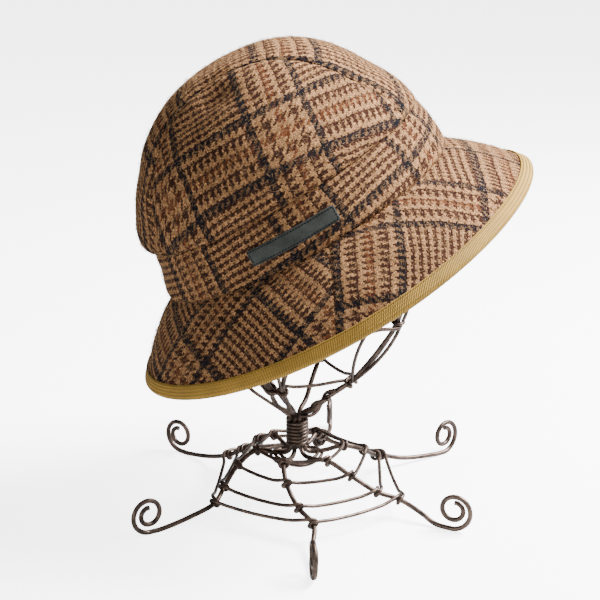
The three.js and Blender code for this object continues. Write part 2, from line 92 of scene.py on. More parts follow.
# Crown sections: height share above the band, then reach forward, back and sideways as shares of
# the half sizes at the brim seam. The lowest row turns in under the soft bulge.
CROWN_SECTIONS = np.array([
    # up, front, back, side
    (-0.02, 0.935, 0.9, 0.92),
    (0.0, 0.955, 0.93, 0.942),
    (0.025, 0.964, 0.96, 0.96),
    (0.07, 0.96, 0.979, 0.967),
    (0.18, 0.936, 0.964, 0.957),
    (0.3, 0.888, 0.915, 0.92),
    (0.42, 0.826, 0.855, 0.868),
    (0.57, 0.75, 0.758, 0.782),
    (0.72, 0.65, 0.645, 0.67),
    (0.85, 0.518, 0.505, 0.54),
    (0.94, 0.36, 0.335, 0.385),
    (0.985, 0.19, 0.17, 0.21),
    (1.0, 0.0, 0.0, 0.0),
])

# Band sections from the brim seam up, in the same columns.
BAND_SECTIONS = np.array([
    # up, front, back, side
    (0.0, 0.985, 0.982, 0.985),
    (0.06, 0.999, 1.0, 0.999),
    (0.16, 1.002, 1.004, 1.003),
    (0.3, 0.999, 0.992, 0.996),
    (0.65, 0.988, 0.958, 0.972),
    (0.92, 0.968, 0.934, 0.954),
    (1.0, 0.958, 0.92, 0.945),
    (1.04, 0.94, 0.9, 0.927),
])

# Brim sections from the seam to the rim: shares of the way out and of the way down.
BRIM_SECTIONS = np.array([
    # out, down
    (-0.08, -0.035),
    (0.0, 0.0),
    (0.3, 0.23),
    (0.62, 0.54),
    (0.86, 0.82),
    (1.0, 1.0),
])

# Soft hollows of the crown: bearing from the front, height share, depth in millimetres and spreads
# as shares of a half turn and of the crown's height.
CROWN_HOLLOWS = (
    # bearing, up, depth, spread_round, spread_up
    (262, 0.87, 5.0, 0.1, 0.07),
    (240, 0.79, 2.6, 0.08, 0.07),
    (205, 0.22, 2.6, 0.05, 0.13),
    (222, 0.3, 1.8, 0.05, 0.12),
    (310, 0.5, 1.3, 0.14, 0.14),
    (60, 0.62, 1.6, 0.14, 0.12),
)

# Leg stations from the neck to the foot: shares of the foot radius, of the dome's height and of the
# turn from a wire's bearing in the neck to its bearing at the foot. A 1 marks a tie.
LEG_STATIONS = (
    # out, up, turn, tie
    (0.06, 0.94, 0.0, 0),
    (0.13, 0.93, 0.0, 0),
    (0.26, 1.0, 0.1, 1),
    (0.39, 0.8, 0.42, 1),
    (0.51, 0.51, 0.8, 1),
    (0.61, 0.35, 1.08, 1),
    (0.76, 0.18, 1.04, 0),
)

# Stave stations from the neck to the top: shares of the cage's radius and height. A 1 marks a tie.
STAVE_STATIONS = (
    # out, up, tie
    (0.17, 0.025, 0),
    (0.3, 0.07, 0),
    (0.47, 0.12, 1),
    (0.65, 0.19, 0),
    (0.78, 0.25, 0),
    (0.92, 0.325, 1),
    (0.985, 0.43, 0),
    (1.0, 0.55, 0),
    (0.96, 0.7, 1),
    (0.82, 0.83, 0),
    (0.6, 0.925, 0),
    (0.34, 0.98, 1),
    (0.13, 0.996, 0),
)

# The six wires: reach of the foot as a share of the foot radius, then bearings in degrees at the
# foot, in the neck, at the lowest cage tie and round the cage.
RIBS = (
    # reach, foot, neck, tie, cage
    (1.05, 272, 246, 251, 270),
    (0.96, 331, 306, 329, 325),
    (1.12, 397, 366, 342, 375),
    (1.08, 441, 426, 430, 445),
    (1.05, 499, 486, 515, 525),
    (1.02, 570, 546, 598, 575),
)

# The check's yarn order, one row for each stripe: how many threads and which yarn.
YARN_ORDER = (
    # threads, yarn
    (4, "navy"),
    (4, "tan"),
    (4, "brown"),
    (4, "tan"),
    (4, "russet"),
    (4, "tan"),
    (4, "brown"),
    (4, "tan"),
    (4, "navy"),
) + ((2, "tan"), (2, "brown")) * 10


class HatSizes(bpy.types.PropertyGroup):
    """Sizes of the sewn hat, in metres."""

    cloth: FloatProperty(name="Cloth", description="Thickness of the tweed", default=2.4 * MM, unit="LENGTH")
    brim: FloatProperty(name="Brim", description="Thickness of the brim", default=3 * MM, unit="LENGTH")
    strip: FloatProperty(
        name="Strip", description="Half the width of the crown's centre strip", default=31 * MM, unit="LENGTH"
    )
    flare_front: FloatProperty(
        name="Front flare", description="How much the strip widens to the front", default=9 * MM, unit="LENGTH"
    )
    flare_back: FloatProperty(
        name="Back flare", description="How much the strip widens to the back", default=24 * MM, unit="LENGTH"
    )
    cell: FloatProperty(
        name="Cell", description="Size of a mesh cell on the cloth", default=1.7 * MM, unit="LENGTH"
    )
    seam_depth: FloatProperty(
        name="Seam depth", description="How deep the cloth dips at a seam", default=1.5 * MM, unit="LENGTH"
    )
    seam_reach: FloatProperty(
        name="Seam reach", description="How far from a seam the cloth dips", default=2.6 * MM, unit="LENGTH"
    )
    pucker: FloatProperty(
        name="Pucker", description="Height of the small gathers along a seam", default=0.45 * MM, unit="LENGTH"
    )
    binding: FloatProperty(
        name="Binding",
        description="Width of the ribbon on each side of the rim",
        default=7.5 * MM,
        unit="LENGTH",
    )
    ribbon: FloatProperty(name="Ribbon", description="Thickness of the ribbon", default=0.8 * MM, unit="LENGTH")
    rib_pitch: FloatProperty(
        name="Rib pitch", description="Pitch of the ribbon's ribs", default=1.25 * MM, unit="LENGTH"
    )
    patch_length: FloatProperty(
        name="Patch length", description="Length of the patch", default=62 * MM, unit="LENGTH"
    )
    patch_width: FloatProperty(
        name="Patch width", description="Width of the patch", default=10.5 * MM, unit="LENGTH"
    )
    patch_height: FloatProperty(
        name="Patch height",
        description="Middle of the patch above the brim seam",
        default=16.5 * MM,
        unit="LENGTH",
    )
    patch_back: FloatProperty(
        name="Patch set back",
        description="How far the patch is behind the middle",
        default=1 * MM,
        unit="LENGTH",
    )
    stitch: FloatProperty(
        name="Stitch", description="Pitch of the machine stitches", default=2.6 * MM, unit="LENGTH"
    )
    fibres: FloatProperty(
        name="Fibres", description="Loose wool fibres on a square metre of cloth", default=90000.0
    )
    fibre_reach: FloatProperty(
        name="Fibre reach", description="How far a loose fibre reaches", default=2.4 * MM, unit="LENGTH"
    )
    fibre_thickness: FloatProperty(
        name="Fibre thickness", description="Radius of a loose fibre", default=0.065 * MM, unit="LENGTH"
    )


class StandSizes(bpy.types.PropertyGroup):
    """Sizes of the wire stand, in metres."""

    rib_wire: FloatProperty(
        name="Rib wire", description="Thickness of the six wires", default=3.4 * MM, unit="LENGTH"
    )
    tie_wire: FloatProperty(
        name="Tie wire", description="Thickness of the ties", default=2.5 * MM, unit="LENGTH"
    )
    foot_radius: FloatProperty(
        name="Feet", description="Radius of the circle of feet", default=120 * MM, unit="LENGTH"
    )
    dome: FloatProperty(name="Dome", description="Height of the base's dome", default=38 * MM, unit="LENGTH")
    neck: FloatProperty(name="Neck", description="Length of the neck", default=24 * MM, unit="LENGTH")
    neck_shift: FloatProperty(
        name="Neck shift",
        description="How far the neck leans from the middle",
        default=-5.5 * MM,
        unit="LENGTH",
    )
    shift_reach: FloatProperty(
        name="Shift reach", description="Radius over which the lean dies out", default=70 * MM, unit="LENGTH"
    )
    spiral: FloatProperty(
        name="Spiral", description="Outer radius of a foot's spiral", default=13.5 * MM, unit="LENGTH"
    )
    spiral_end: FloatProperty(
        name="Spiral end", description="Radius where a spiral ends", default=5.3 * MM, unit="LENGTH"
    )
    spiral_turns: FloatProperty(name="Spiral turns", description="Turns of a foot's spiral", default=1.5)
    spiral_twist: FloatProperty(
        name="Spiral twist",
        description="How far a spiral is turned out of its leg's plane",
        default=math.radians(6),
        subtype="ANGLE",
    )
    spiral_lean: FloatProperty(
        name="Spiral lean",
        description="How far a spiral's end stands out sideways",
        default=1.5 * MM,
        unit="LENGTH",
    )
    cage_radius: FloatProperty(
        name="Cage radius", description="Radius of the cage", default=80.5 * MM, unit="LENGTH"
    )
    cage_height: FloatProperty(
        name="Cage height", description="Height of the cage", default=247.5 * MM, unit="LENGTH"
    )
    coil_turns: IntProperty(name="Coil turns", description="Turns of the coil at the neck", default=7)
    gap: FloatProperty(name="Gap", description="Clearance between wires", default=0.35 * MM, unit="LENGTH")


class Colours(bpy.types.PropertyGroup):
    """Colours of the yarns, ribbon, patch and wire, and the weave's scale."""

    tan: FloatVectorProperty(
        name="Tan yarn", description="Light ground yarn", subtype="COLOR", default=(0.48, 0.25, 0.112)
    )
    brown: FloatVectorProperty(
        name="Brown yarn",
        description="Dark yarn of the check",
        subtype="COLOR",
        default=(0.052, 0.0185, 0.0115),
    )
    russet: FloatVectorProperty(
        name="Russet yarn", description="Reddish middle stripe", subtype="COLOR", default=(0.17, 0.055, 0.022)
    )
    navy: FloatVectorProperty(
        name="Navy yarn", description="Overcheck yarn", subtype="COLOR", default=(0.005, 0.008, 0.014)
    )
    hair: FloatVectorProperty(
        name="Light hair", description="Light hair in the yarns", subtype="COLOR", default=(0.85, 0.56, 0.32)
    )
    wool: FloatVectorProperty(
        name="Loose wool", description="Loose light fibres", subtype="COLOR", default=(0.55, 0.34, 0.17)
    )
    thread_pitch: FloatProperty(
        name="Thread pitch", description="Pitch of the yarns", default=1.24 * MM, unit="LENGTH"
    )
    ribbon: FloatVectorProperty(
        name="Ribbon", description="Mustard ribbon", subtype="COLOR", default=(0.42, 0.245, 0.045)
    )
    patch: FloatVectorProperty(
        name="Patch", description="Dark patch", subtype="COLOR", default=(0.045, 0.05, 0.046)
    )
    patch_thread: FloatVectorProperty(
        name="Patch thread",
        description="Thread round the patch",
        subtype="COLOR",
        default=(0.001, 0.001, 0.001),
    )
    wire: FloatVectorProperty(
        name="Wire", description="Bronzed wire", subtype="COLOR", default=(0.145, 0.1, 0.078)
    )
    wire_dark: FloatVectorProperty(
        name="Wire patina",
        description="Dark patina of the wire",
        subtype="COLOR",
        default=(0.045, 0.031, 0.025),
    )
    floor: FloatVectorProperty(
        name="Floor", description="Pale floor", subtype="COLOR", default=(0.93, 0.925, 0.94)
    )
    floor_bounce: FloatVectorProperty(
        name="Floor bounce", description="Floor as it lights the hat", subtype="COLOR", default=(0.5, 0.5, 0.5)
    )


class StageSizes(bpy.types.PropertyGroup):
    """Where the camera stands and how bright the lights are."""

    elevation: FloatProperty(
        name="Elevation",
        description="Camera angle above the floor",
        default=math.radians(16.95),
        subtype="ANGLE",
    )
    distance: FloatProperty(name="Distance", description="Camera to target", default=1.062, unit="LENGTH")
    view: FloatProperty(
        name="View", description="Angle across the picture", default=math.radians(22), subtype="ANGLE"
    )
    target: FloatVectorProperty(
        name="Target",
        description="What the camera looks at",
        subtype="TRANSLATION",
        default=(-0.0199, -0.001, 0.1476),
    )
    key: FloatProperty(name="Key", description="Power of the key light", default=160.0, unit="POWER")
    glow: FloatProperty(
        name="Glow", description="How much brighter the floor looks than it is lit", default=4.5
    )
    fill: FloatProperty(name="Fill", description="Power of the fill light", default=14.0, unit="POWER")


def settings():
    """The sizes and colours that the pieces are made with."""
    return bpy.context.scene.hat_builder


class HatBuilder(bpy.types.PropertyGroup):
    """All the sizes and colours of the hat, its stand and the stage."""

    hat: PointerProperty(type=HatSizes)
    stand: PointerProperty(type=StandSizes)
    colours: PointerProperty(type=Colours)
    stage: PointerProperty(type=StageSizes)


# Curves through tables

def smooth(knots, values, at):
    """Values at the wanted places, on a smooth curve through the knots."""
    knots, values, at = (np.asarray(a, float) for a in (knots, values, at))
    slopes = np.gradient(values, knots, axis=0)
    i = np.clip(np.searchsorted(knots, at, side="right") - 1, 0, len(knots) - 2)
    step = knots[i + 1] - knots[i]
    t = np.clip((at - knots[i]) / step, 0, 1)
    a, b = values[i], values[i + 1]
    da, db = slopes[i] * step, slopes[i + 1] * step
    return a + t * (da + t * (3 * (b - a) - 2 * da - db + t * (2 * (a - b) + da + db)))


def run_lengths(points):
    """Distance along a row of points, from its first."""
    steps = np.linalg.norm(np.diff(points, axis=0), axis=-1)
    return np.concatenate([[0.0], np.cumsum(steps)])


def even_path(points, step, closed=False):
    """The same path through evenly spaced points, on a smooth curve."""
    points = np.asarray(points, float)
    if closed:
        wrapped = np.concatenate([points[-3:], points, points[:4]])
        length = run_lengths(wrapped)
        count = max(8, round((length[-4] - length[3]) / step))
        at = np.linspace(length[3], length[-4], count, endpoint=False)
        return np.stack([smooth(length, wrapped[:, k], at) for k in range(3)], axis=1)
    length = run_lengths(points)
    at = np.linspace(0, length[-1], max(4, round(length[-1] / step)))
    return np.stack([smooth(length, points[:, k], at) for k in range(3)], axis=1)


def waves(x, y, length, seed):
    """Smooth irregular waves between about -1 and 1."""
    total = 0
    for k in range(3):
        turn = 1.9 * k + 0.7 * seed
        size = length * (1 - 0.22 * k)
        along = x * math.cos(turn) + y * math.sin(turn)
        total = total + np.sin(FULL_TURN * along / size + 2.3 * seed + k)
    return total / 3


# The oval surfaces of the hat

class Oval:
    """A surface of oval rings. A ring has a reach to the front, the back and the side, and a height."""

    def __init__(self, table, height, base):
        up, front, back, side = table.T
        reaches = [front * SEAM_HALF_LENGTH, back * SEAM_HALF_LENGTH, side * SEAM_HALF_WIDTH]
        self.rows = np.stack([*reaches, base + up * height], axis=1)
        profile = np.stack([self.rows[:, :3].mean(1), self.rows[:, 3]], axis=1)
        self.knots = run_lengths(profile) / run_lengths(profile)[-1]

    def ring(self, level):
        """Front, back and side reach and height at a level from 0, the lowest, to 1."""
        return [smooth(self.knots, self.rows[:, k], level) for k in range(4)]

    def point(self, level, bearing):
        front, back, side, up = self.ring(level)
        along, across = np.cos(bearing), np.sin(bearing)
        return np.stack([np.where(along > 0, front, back) * along, side * across, up + 0 * along], axis=-1)


def crown_surface():
    return Oval(CROWN_SECTIONS, CROWN_HEIGHT - BAND_HEIGHT, BAND_HEIGHT)


def band_surface():
    return Oval(BAND_SECTIONS, BAND_HEIGHT, 0.0)


def press_hollows(points):
    """Presses the soft hollows into points of the crown."""
    bearing = np.degrees(np.arctan2(points[..., 1], points[..., 0]))
    up = (points[..., 2] - BAND_HEIGHT) / (CROWN_HEIGHT - BAND_HEIGHT)
    depth = 0
    for middle, height, deep, spread_round, spread_up in CROWN_HOLLOWS:
        away = (bearing - middle + 180) % 360 - 180
        depth = depth + deep * np.exp(-((away / 180 / spread_round) ** 2) - ((up - height) / spread_up) ** 2)
    length = np.linalg.norm(points, axis=-1)
    return points * (1 - depth / length)[..., None]


def seam_plan(x, hat):
    """Half the strip's width at a place along the hat, in millimetres."""
    flare = np.where(x > 0, hat.flare_front, hat.flare_back) / MM
    return hat.strip / MM + flare * (x / SEAM_HALF_LENGTH) ** 2


def seam_on_disc(crown, p, hat):
    """The seam's height q on the unit disc that the crown is spread on, at each p."""
    low, high = np.zeros_like(p), np.sqrt(np.clip(1 - p * p, 0, 1))
    for _ in range(40):
        q = (low + high) / 2
        point = crown.point(1 - np.hypot(p, q), np.arctan2(q, p))
        inside = point[..., 1] < seam_plan(point[..., 0], hat)
        low, high = np.where(inside, q, low), np.where(inside, high, q)
    return high


def seam_corner(crown, front, hat):
    """The disc place where a seam meets the band."""
    low, high = 0.0, math.pi / 2
    for _ in range(40):
        turn = (low + high) / 2
        bearing = turn if front else math.pi - turn
        point = crown.point(np.array(0.0), np.array(bearing))
        if point[1] < seam_plan(point[0], hat):
            low = turn
        else:
            high = turn
    return high


# Meshes

def surface_normals(grid, wraps):
    """Outward normals of a grid of points. The grid may join round its columns."""
    if wraps:
        ring = grid[:, :-1]
        across = np.roll(ring, -1, 1) - np.roll(ring, 1, 1)
        across = np.concatenate([across, across[:, :1]], axis=1)
    else:
        across = np.gradient(grid, axis=1)
    along = np.gradient(grid, axis=0)
    normal = np.cross(across, along)
    length = np.linalg.norm(normal, axis=-1, keepdims=True)
    return normal / np.maximum(length, 1e-9)


def steady(normals):
    """The same normals, with those of collapsed corners taken from their neighbours."""
    fixed = normals.copy()
    for column in (0, -1):
        beside = 1 if column == 0 else -2
        lost = np.linalg.norm(normals[:, column], axis=-1) < 0.5
        fixed[lost, column] = normals[lost, beside]
        fixed[:, column] = fixed[:, column].mean(0) if lost.any() else fixed[:, column]
    return fixed / np.maximum(np.linalg.norm(fixed, axis=-1, keepdims=True), 1e-9)


def grid_faces(rows, columns, start, flip=False):
    """The quads of a grid of points whose first has the number start."""
    faces = []
    for r in range(rows - 1):
        for c in range(columns - 1):
            a = start + r * columns + c
            quad = (a, a + 1, a + columns + 1, a + columns)
            faces.append(quad[::-1] if flip else quad)
    return faces


# Points closer than this, in metres, are one.
WELD = 1e-6


def finish_mesh(name, points, faces, uv=None):
    """A smooth mesh object in the row frame, with its doubles merged."""
    mesh = bpy.data.meshes.new(name)
    mesh.from_pydata([tuple(p) for p in points], [], faces)
    if uv is not None:
        layer = mesh.uv_layers.new(name=CLOTH_UV)
        index = np.zeros(len(mesh.loops), int)
        mesh.loops.foreach_get("vertex_index", index)
        layer.data.foreach_set("uv", np.asarray(uv, np.float32)[index].ravel())
    bm = bmesh.new()
    bm.from_mesh(mesh)
    bmesh.ops.remove_doubles(bm, verts=bm.verts, dist=WELD)
    bmesh.ops.dissolve_degenerate(bm, edges=bm.edges, dist=WELD / 10)
    bm.to_mesh(mesh)
    bm.free()
    mesh.polygons.foreach_set("use_smooth", [True] * len(mesh.polygons))
    piece = bpy.data.objects.new(name, mesh)
    bpy.context.scene.collection.objects.link(piece)
    return piece


def cloth_wall(name, grid, uv, thickness, wraps=False):
    """A closed wall of cloth under a grid of outer points, all in hat millimetres.

    The cloth map is in metres from the middle of its square, so the weave's pitch is a real length.
    """
    rows, columns = grid.shape[:2]
    normals = steady(surface_normals(grid, wraps))
    inner = grid - normals * thickness
    points = np.concatenate([grid.reshape(-1, 3), inner.reshape(-1, 3)])
    count = rows * columns
    faces = grid_faces(rows, columns, 0) + grid_faces(rows, columns, count, flip=True)
    edge = [(r * columns, (r + 1) * columns) for r in range(rows - 1)]
    if not wraps:
        faces += [(a, b, b + count, a + count) for a, b in edge]
        last = columns - 1
        faces += [(b + last, a + last, a + last + count, b + last + count) for a, b in edge]
    top = (rows - 1) * columns
    for c in range(columns - 1):
        faces.append((c + 1, c, c + count, c + 1 + count))
        faces.append((top + c, top + c + 1, top + c + 1 + count, top + c + count))
    both = np.concatenate([uv.reshape(-1, 2), uv.reshape(-1, 2)])
    return finish_mesh(name, to_world(points), faces, both * MM + 0.5)


def dress(piece, material, slot, *nodes):
    """Gives a piece its material and ties it to the frame."""
    piece.data.materials.clear()
    piece.data.materials.append(material)
    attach(piece, BODY)
    if nodes:
        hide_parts(*nodes)
    return piece


# Shader groups

def new_group(name, inputs, outputs):
    """An empty shader group with its sockets."""
    group = bpy.data.node_groups.new(name, "ShaderNodeTree")
    kinds = {"float": "NodeSocketFloat", "colour": "NodeSocketColor", "vector": "NodeSocketVector"}
    for label, kind, value in inputs:
        socket = group.interface.new_socket(label, in_out="INPUT", socket_type=kinds[kind])
        if value is not None:
            socket.default_value = value
    for label, kind in outputs:
        group.interface.new_socket(label, in_out="OUTPUT", socket_type=kinds[kind])
    return group


class Wiring:
    """Short ways to place and join nodes in a tree."""

    def __init__(self, tree):
        self.tree = tree

    def node(self, kind, **values):
        made = self.tree.nodes.new(kind)
        for key, value in values.items():
            setattr(made, key, value)
        return made

    def feed(self, socket, value):
        if isinstance(value, bpy.types.NodeSocket):
            self.tree.links.new(value, socket)
        elif value is not None:
            socket.default_value = value

    def maths(self, operation, a, b=None, c=None):
        made = self.node("ShaderNodeMath", operation=operation)
        for socket, value in zip(made.inputs, (a, b, c)):
            self.feed(socket, value)
        return made.outputs[0]

    def vector(self, operation, a, b=None):
        made = self.node("ShaderNodeVectorMath", operation=operation)
        for socket, value in zip(made.inputs, (a, b)):
            self.feed(socket, value)
        return made.outputs[0]

    def scale(self, vector, factor):
        made = self.node("ShaderNodeVectorMath", operation="SCALE")
        self.feed(made.inputs[0], vector)
        self.feed(made.inputs["Scale"], factor)
        return made.outputs[0]

    def split(self, vector):
        made = self.node("ShaderNodeSeparateXYZ")
        self.feed(made.inputs[0], vector)
        return made.outputs

    def split_colour(self, colour):
        made = self.node("ShaderNodeSeparateColor")
        self.feed(made.inputs[0], colour)
        return made.outputs

    def mix(self, share, a, b):
        made = self.node("ShaderNodeMix", data_type="RGBA")
        for socket, value in zip((made.inputs[0], made.inputs[6], made.inputs[7]), (share, a, b)):
            self.feed(socket, value)
        return made.outputs[2]

    def mix_values(self, share, a, b):
        made = self.node("ShaderNodeMix", data_type="FLOAT")
        for socket, value in zip((made.inputs[0], made.inputs[2], made.inputs[3]), (share, a, b)):
            self.feed(socket, value)
        return made.outputs[0]

    def noise(self, where, scale, detail=2.0, roughness=0.5):
        made = self.node("ShaderNodeTexNoise")
        given = {"Vector": where, "Scale": scale, "Detail": detail, "Roughness": roughness}
        for label, value in given.items():
            self.feed(made.inputs[label], value)
        return made.outputs

    def spread(self, value, low, high, to_low, to_high):
        made = self.node("ShaderNodeMapRange")
        for socket, given in zip(made.inputs, (value, low, high, to_low, to_high)):
            self.feed(socket, given)
        return made.outputs[0]


YARN_MASKS = {"tan": (0, 0, 0, 1), "brown": (1, 0, 0, 1), "navy": (0, 1, 0, 1), "russet": (0, 0, 1, 1)}

# Combed hairs that blur the check: the way they lie, where the noise starts to show, how much, and the yarn.
STREAKS = (
    # turn, low, most, yarn
    (0.7, 0.58, 0.25, "Tan"),
    (-0.6, 0.57, 0.55, "Brown"),
    (2.0, 0.61, 0.5, "Hair"),
)


def stripes(wires, index):
    """Which yarn a thread is, as a mask in red, green and blue, from its number."""
    total = sum(threads for threads, _ in YARN_ORDER)
    place = wires.maths("FLOORED_MODULO", wires.maths("ADD", index, 0.5), total)
    ramp = wires.node("ShaderNodeValToRGB")
    ramp.color_ramp.interpolation = "CONSTANT"
    stops = ramp.color_ramp.elements
    start = 0
    for i, (threads, yarn) in enumerate(YARN_ORDER):
        stop = stops[0] if i == 0 else stops[1] if i == 1 else stops.new(start / total)
        stop.position = start / total
        stop.color = YARN_MASKS[yarn]
        start += threads
    wires.feed(ramp.inputs[0], wires.maths("DIVIDE", place, total))
    return ramp.outputs[0]


def twill_group():
    """A checked 2/2 twill in wool. It gives the colour, with painted shade towards each yarn's edges, and the
    height of the yarns.
    """
    name = "checked_twill"
    if name in bpy.data.node_groups:
        return bpy.data.node_groups[name]
    group = new_group(
        name,
        [
            ("Cloth", "vector", None),
            ("Pitch", "float", 0.00124),
            ("Tan", "colour", None),
            ("Brown", "colour", None),
            ("Russet", "colour", None),
            ("Navy", "colour", None),
            ("Hair", "colour", None),
            ("Wobble", "float", 0.42),
            ("Heather", "float", 0.5),
            ("Overcheck", "float", 0.6),
        ],
        [("Colour", "colour"), ("Height", "float")],
    )
    wires = Wiring(group)
    inputs = wires.node("NodeGroupInput").outputs
    centred = wires.vector("SUBTRACT", inputs["Cloth"], (0.5, 0.5, 0.0))
    threads = wires.scale(centred, wires.maths("DIVIDE", 1.0, inputs["Pitch"]))

    # The yarns wander slowly over the cloth and shiver from thread to thread.
    slow = wires.vector("SUBTRACT", wires.noise(threads, 0.055, 1.0)["Color"], (0.5, 0.5, 0.5))
    quick = wires.vector("SUBTRACT", wires.noise(threads, 1.5, 2.0, 0.6)["Color"], (0.5, 0.5, 0.5))
    drift = wires.vector("MULTIPLY", slow, (3.0, 3.0, 0.0))
    shiver = wires.scale(quick, wires.maths("MULTIPLY", inputs["Wobble"], 4.2))
    x, y, _ = wires.split(wires.vector("ADD", wires.vector("ADD", threads, drift), shiver))

    # Two over, two under: which yarn is on top, and its colour.
    warp, weft = wires.maths("FLOOR", x), wires.maths("FLOOR", y)
    step = wires.maths("FLOORED_MODULO", wires.maths("SUBTRACT", weft, warp), 4.0)
    warp_on_top = wires.maths("LESS_THAN", step, 1.5)
    masks = wires.split_colour(wires.mix(warp_on_top, stripes(wires, weft), stripes(wires, warp)))
    colour = inputs["Tan"]
    for mask, yarn_name in zip(masks, ("Brown", "Navy", "Russet")):
        colour = wires.mix(mask, colour, inputs[yarn_name])
    lines = [wires.split_colour(stripes(wires, index))[1] for index in (warp, weft)]
    overcheck = wires.maths("MULTIPLY", wires.maths("MAXIMUM", *lines), inputs["Overcheck"])
    colour = wires.mix(overcheck, colour, inputs["Navy"])

    across_warp, across_weft = (
        wires.maths("SINE", wires.maths("MULTIPLY", wires.maths("FRACT", place), math.pi)) for place in (x, y)
    )
    yarn = wires.mix_values(warp_on_top, across_weft, across_warp)

    # No two threads and no two crossings are quite as light as each other.
    strand = wires.node("ShaderNodeTexWhiteNoise", noise_dimensions="1D")
    wires.feed(strand.inputs["W"], wires.mix_values(warp_on_top, weft, wires.maths("ADD", warp, 0.37)))
    stitch = wires.node("ShaderNodeTexWhiteNoise", noise_dimensions="2D")
    cell = wires.node("ShaderNodeCombineXYZ")
    wires.feed(cell.inputs[0], warp)
    wires.feed(cell.inputs[1], weft)
    wires.feed(stitch.inputs["Vector"], cell.outputs[0])
    uneven = wires.maths(
        "MULTIPLY",
        wires.spread(strand.outputs["Value"], 0, 1, 0.78, 1.22),
        wires.spread(stitch.outputs["Value"], 0, 1, 0.7, 1.3),
    )
    flecks = wires.noise(threads, 1.35, 3.0, 0.75)
    fine = wires.noise(threads, 5.0, 2.0, 0.7)
    light = wires.spread(flecks["Fac"], 0.36, 0.66, 0.3, 1.9)
    grain = wires.spread(fine["Fac"], 0.34, 0.68, 0.55, 1.5)
    # Painted shade: each yarn is darker towards its edges, where it turns down under its neighbours; the same
    # curve raises it in the bump.
    painted_yarn_edge_shade = wires.spread(yarn, 0, 1, 0.6, 1.1)
    flecks_and_painted_shade = wires.maths("MULTIPLY", wires.maths("MULTIPLY", light, grain), painted_yarn_edge_shade)
    tone_and_painted_shade = wires.maths("MULTIPLY", flecks_and_painted_shade, uneven)
    # The random tone and the painted yarn-edge shade darken the colour together, as far as the heather share
    # lets them.
    blended = wires.scale(colour, wires.mix_values(inputs["Heather"], 1.0, tone_and_painted_shade))
    for turn, low, most, yarn_name in STREAKS:
        combed = wires.node("ShaderNodeMapping")
        wires.feed(combed.inputs["Vector"], threads)
        combed.inputs["Rotation"].default_value = (0.0, 0.0, turn)
        combed.inputs["Scale"].default_value = (0.45, 2.1, 1.0)
        hairs = wires.noise(combed.outputs[0], 1.0, 2.0, 0.6)["Fac"]
        streak = wires.spread(hairs, low, low + 0.08, 0.0, most)
        blended = wires.mix(wires.maths("MULTIPLY", streak, inputs["Heather"]), blended, inputs[yarn_name])

    height = wires.maths("MULTIPLY_ADD", yarn, 0.7, wires.maths("MULTIPLY", fine["Fac"], 0.5))
    output = wires.node("NodeGroupOutput")
    wires.feed(output.inputs["Colour"], blended)
    wires.feed(output.inputs["Height"], height)
    return group


def use_group(wires, group, **values):
    """A group placed in a material with its own values. It gives the group's outputs."""
    made = wires.node("ShaderNodeGroup")
    made.node_tree = group
    for key, value in values.items():
        wires.feed(made.inputs[key.replace("_", " ").capitalize()], value)
    return made.outputs


def start_material(name):
    """An empty material with a Principled shader joined to its output."""
    material = bpy.data.materials.new(name)
    material.use_nodes = True
    material.node_tree.nodes.clear()
    wires = Wiring(material.node_tree)
    shader = wires.node("ShaderNodeBsdfPrincipled")
    output = wires.node("ShaderNodeOutputMaterial")
    wires.feed(output.inputs["Surface"], shader.outputs[0])
    return material, wires, shader


def bump(wires, shader, height, distance, strength=1.0):
    """Raises a surface by a height, at most as far as the distance in metres."""
    made = wires.node("ShaderNodeBump")
    wires.feed(made.inputs["Height"], height)
    wires.feed(made.inputs["Distance"], distance)
    wires.feed(made.inputs["Strength"], strength)
    wires.feed(shader.inputs["Normal"], made.outputs[0])


def rgba(colour):
    return (*colour, 1.0)


def mottle(wires, where, slow, fine, slow_tone, fine_tone):
    """Slow and fine noise at two scales, and the tone that they give together."""
    slow, fine = wires.noise(where, *slow)["Fac"], wires.noise(where, *fine)["Fac"]
    slow_share, fine_share = wires.spread(slow, 0.3, 0.7, *slow_tone), wires.spread(fine, 0.3, 0.7, *fine_tone)
    return slow, fine, wires.maths("MULTIPLY", slow_share, fine_share)


def tweed_material():
    """Wool twill, matt and a little hairy."""
    name = "wool_twill"
    if name in bpy.data.materials:
        return bpy.data.materials[name]
    colours = settings().colours
    material, wires, shader = start_material(name)
    cloth = wires.node("ShaderNodeAttribute", attribute_name=CLOTH_UV)
    twill = use_group(
        wires,
        twill_group(),
        cloth=cloth.outputs["Vector"],
        pitch=colours.thread_pitch,
        tan=rgba(colours.tan),
        brown=rgba(colours.brown),
        russet=rgba(colours.russet),
        navy=rgba(colours.navy),
        hair=rgba(colours.hair),
        heather=1.0,
    )
    wires.feed(shader.inputs["Base Color"], twill["Colour"])
    shader.inputs["Roughness"].default_value = 0.92
    shader.inputs["Specular IOR Level"].default_value = 0.08
    bump(wires, shader, twill["Height"], 0.0013)
    return material


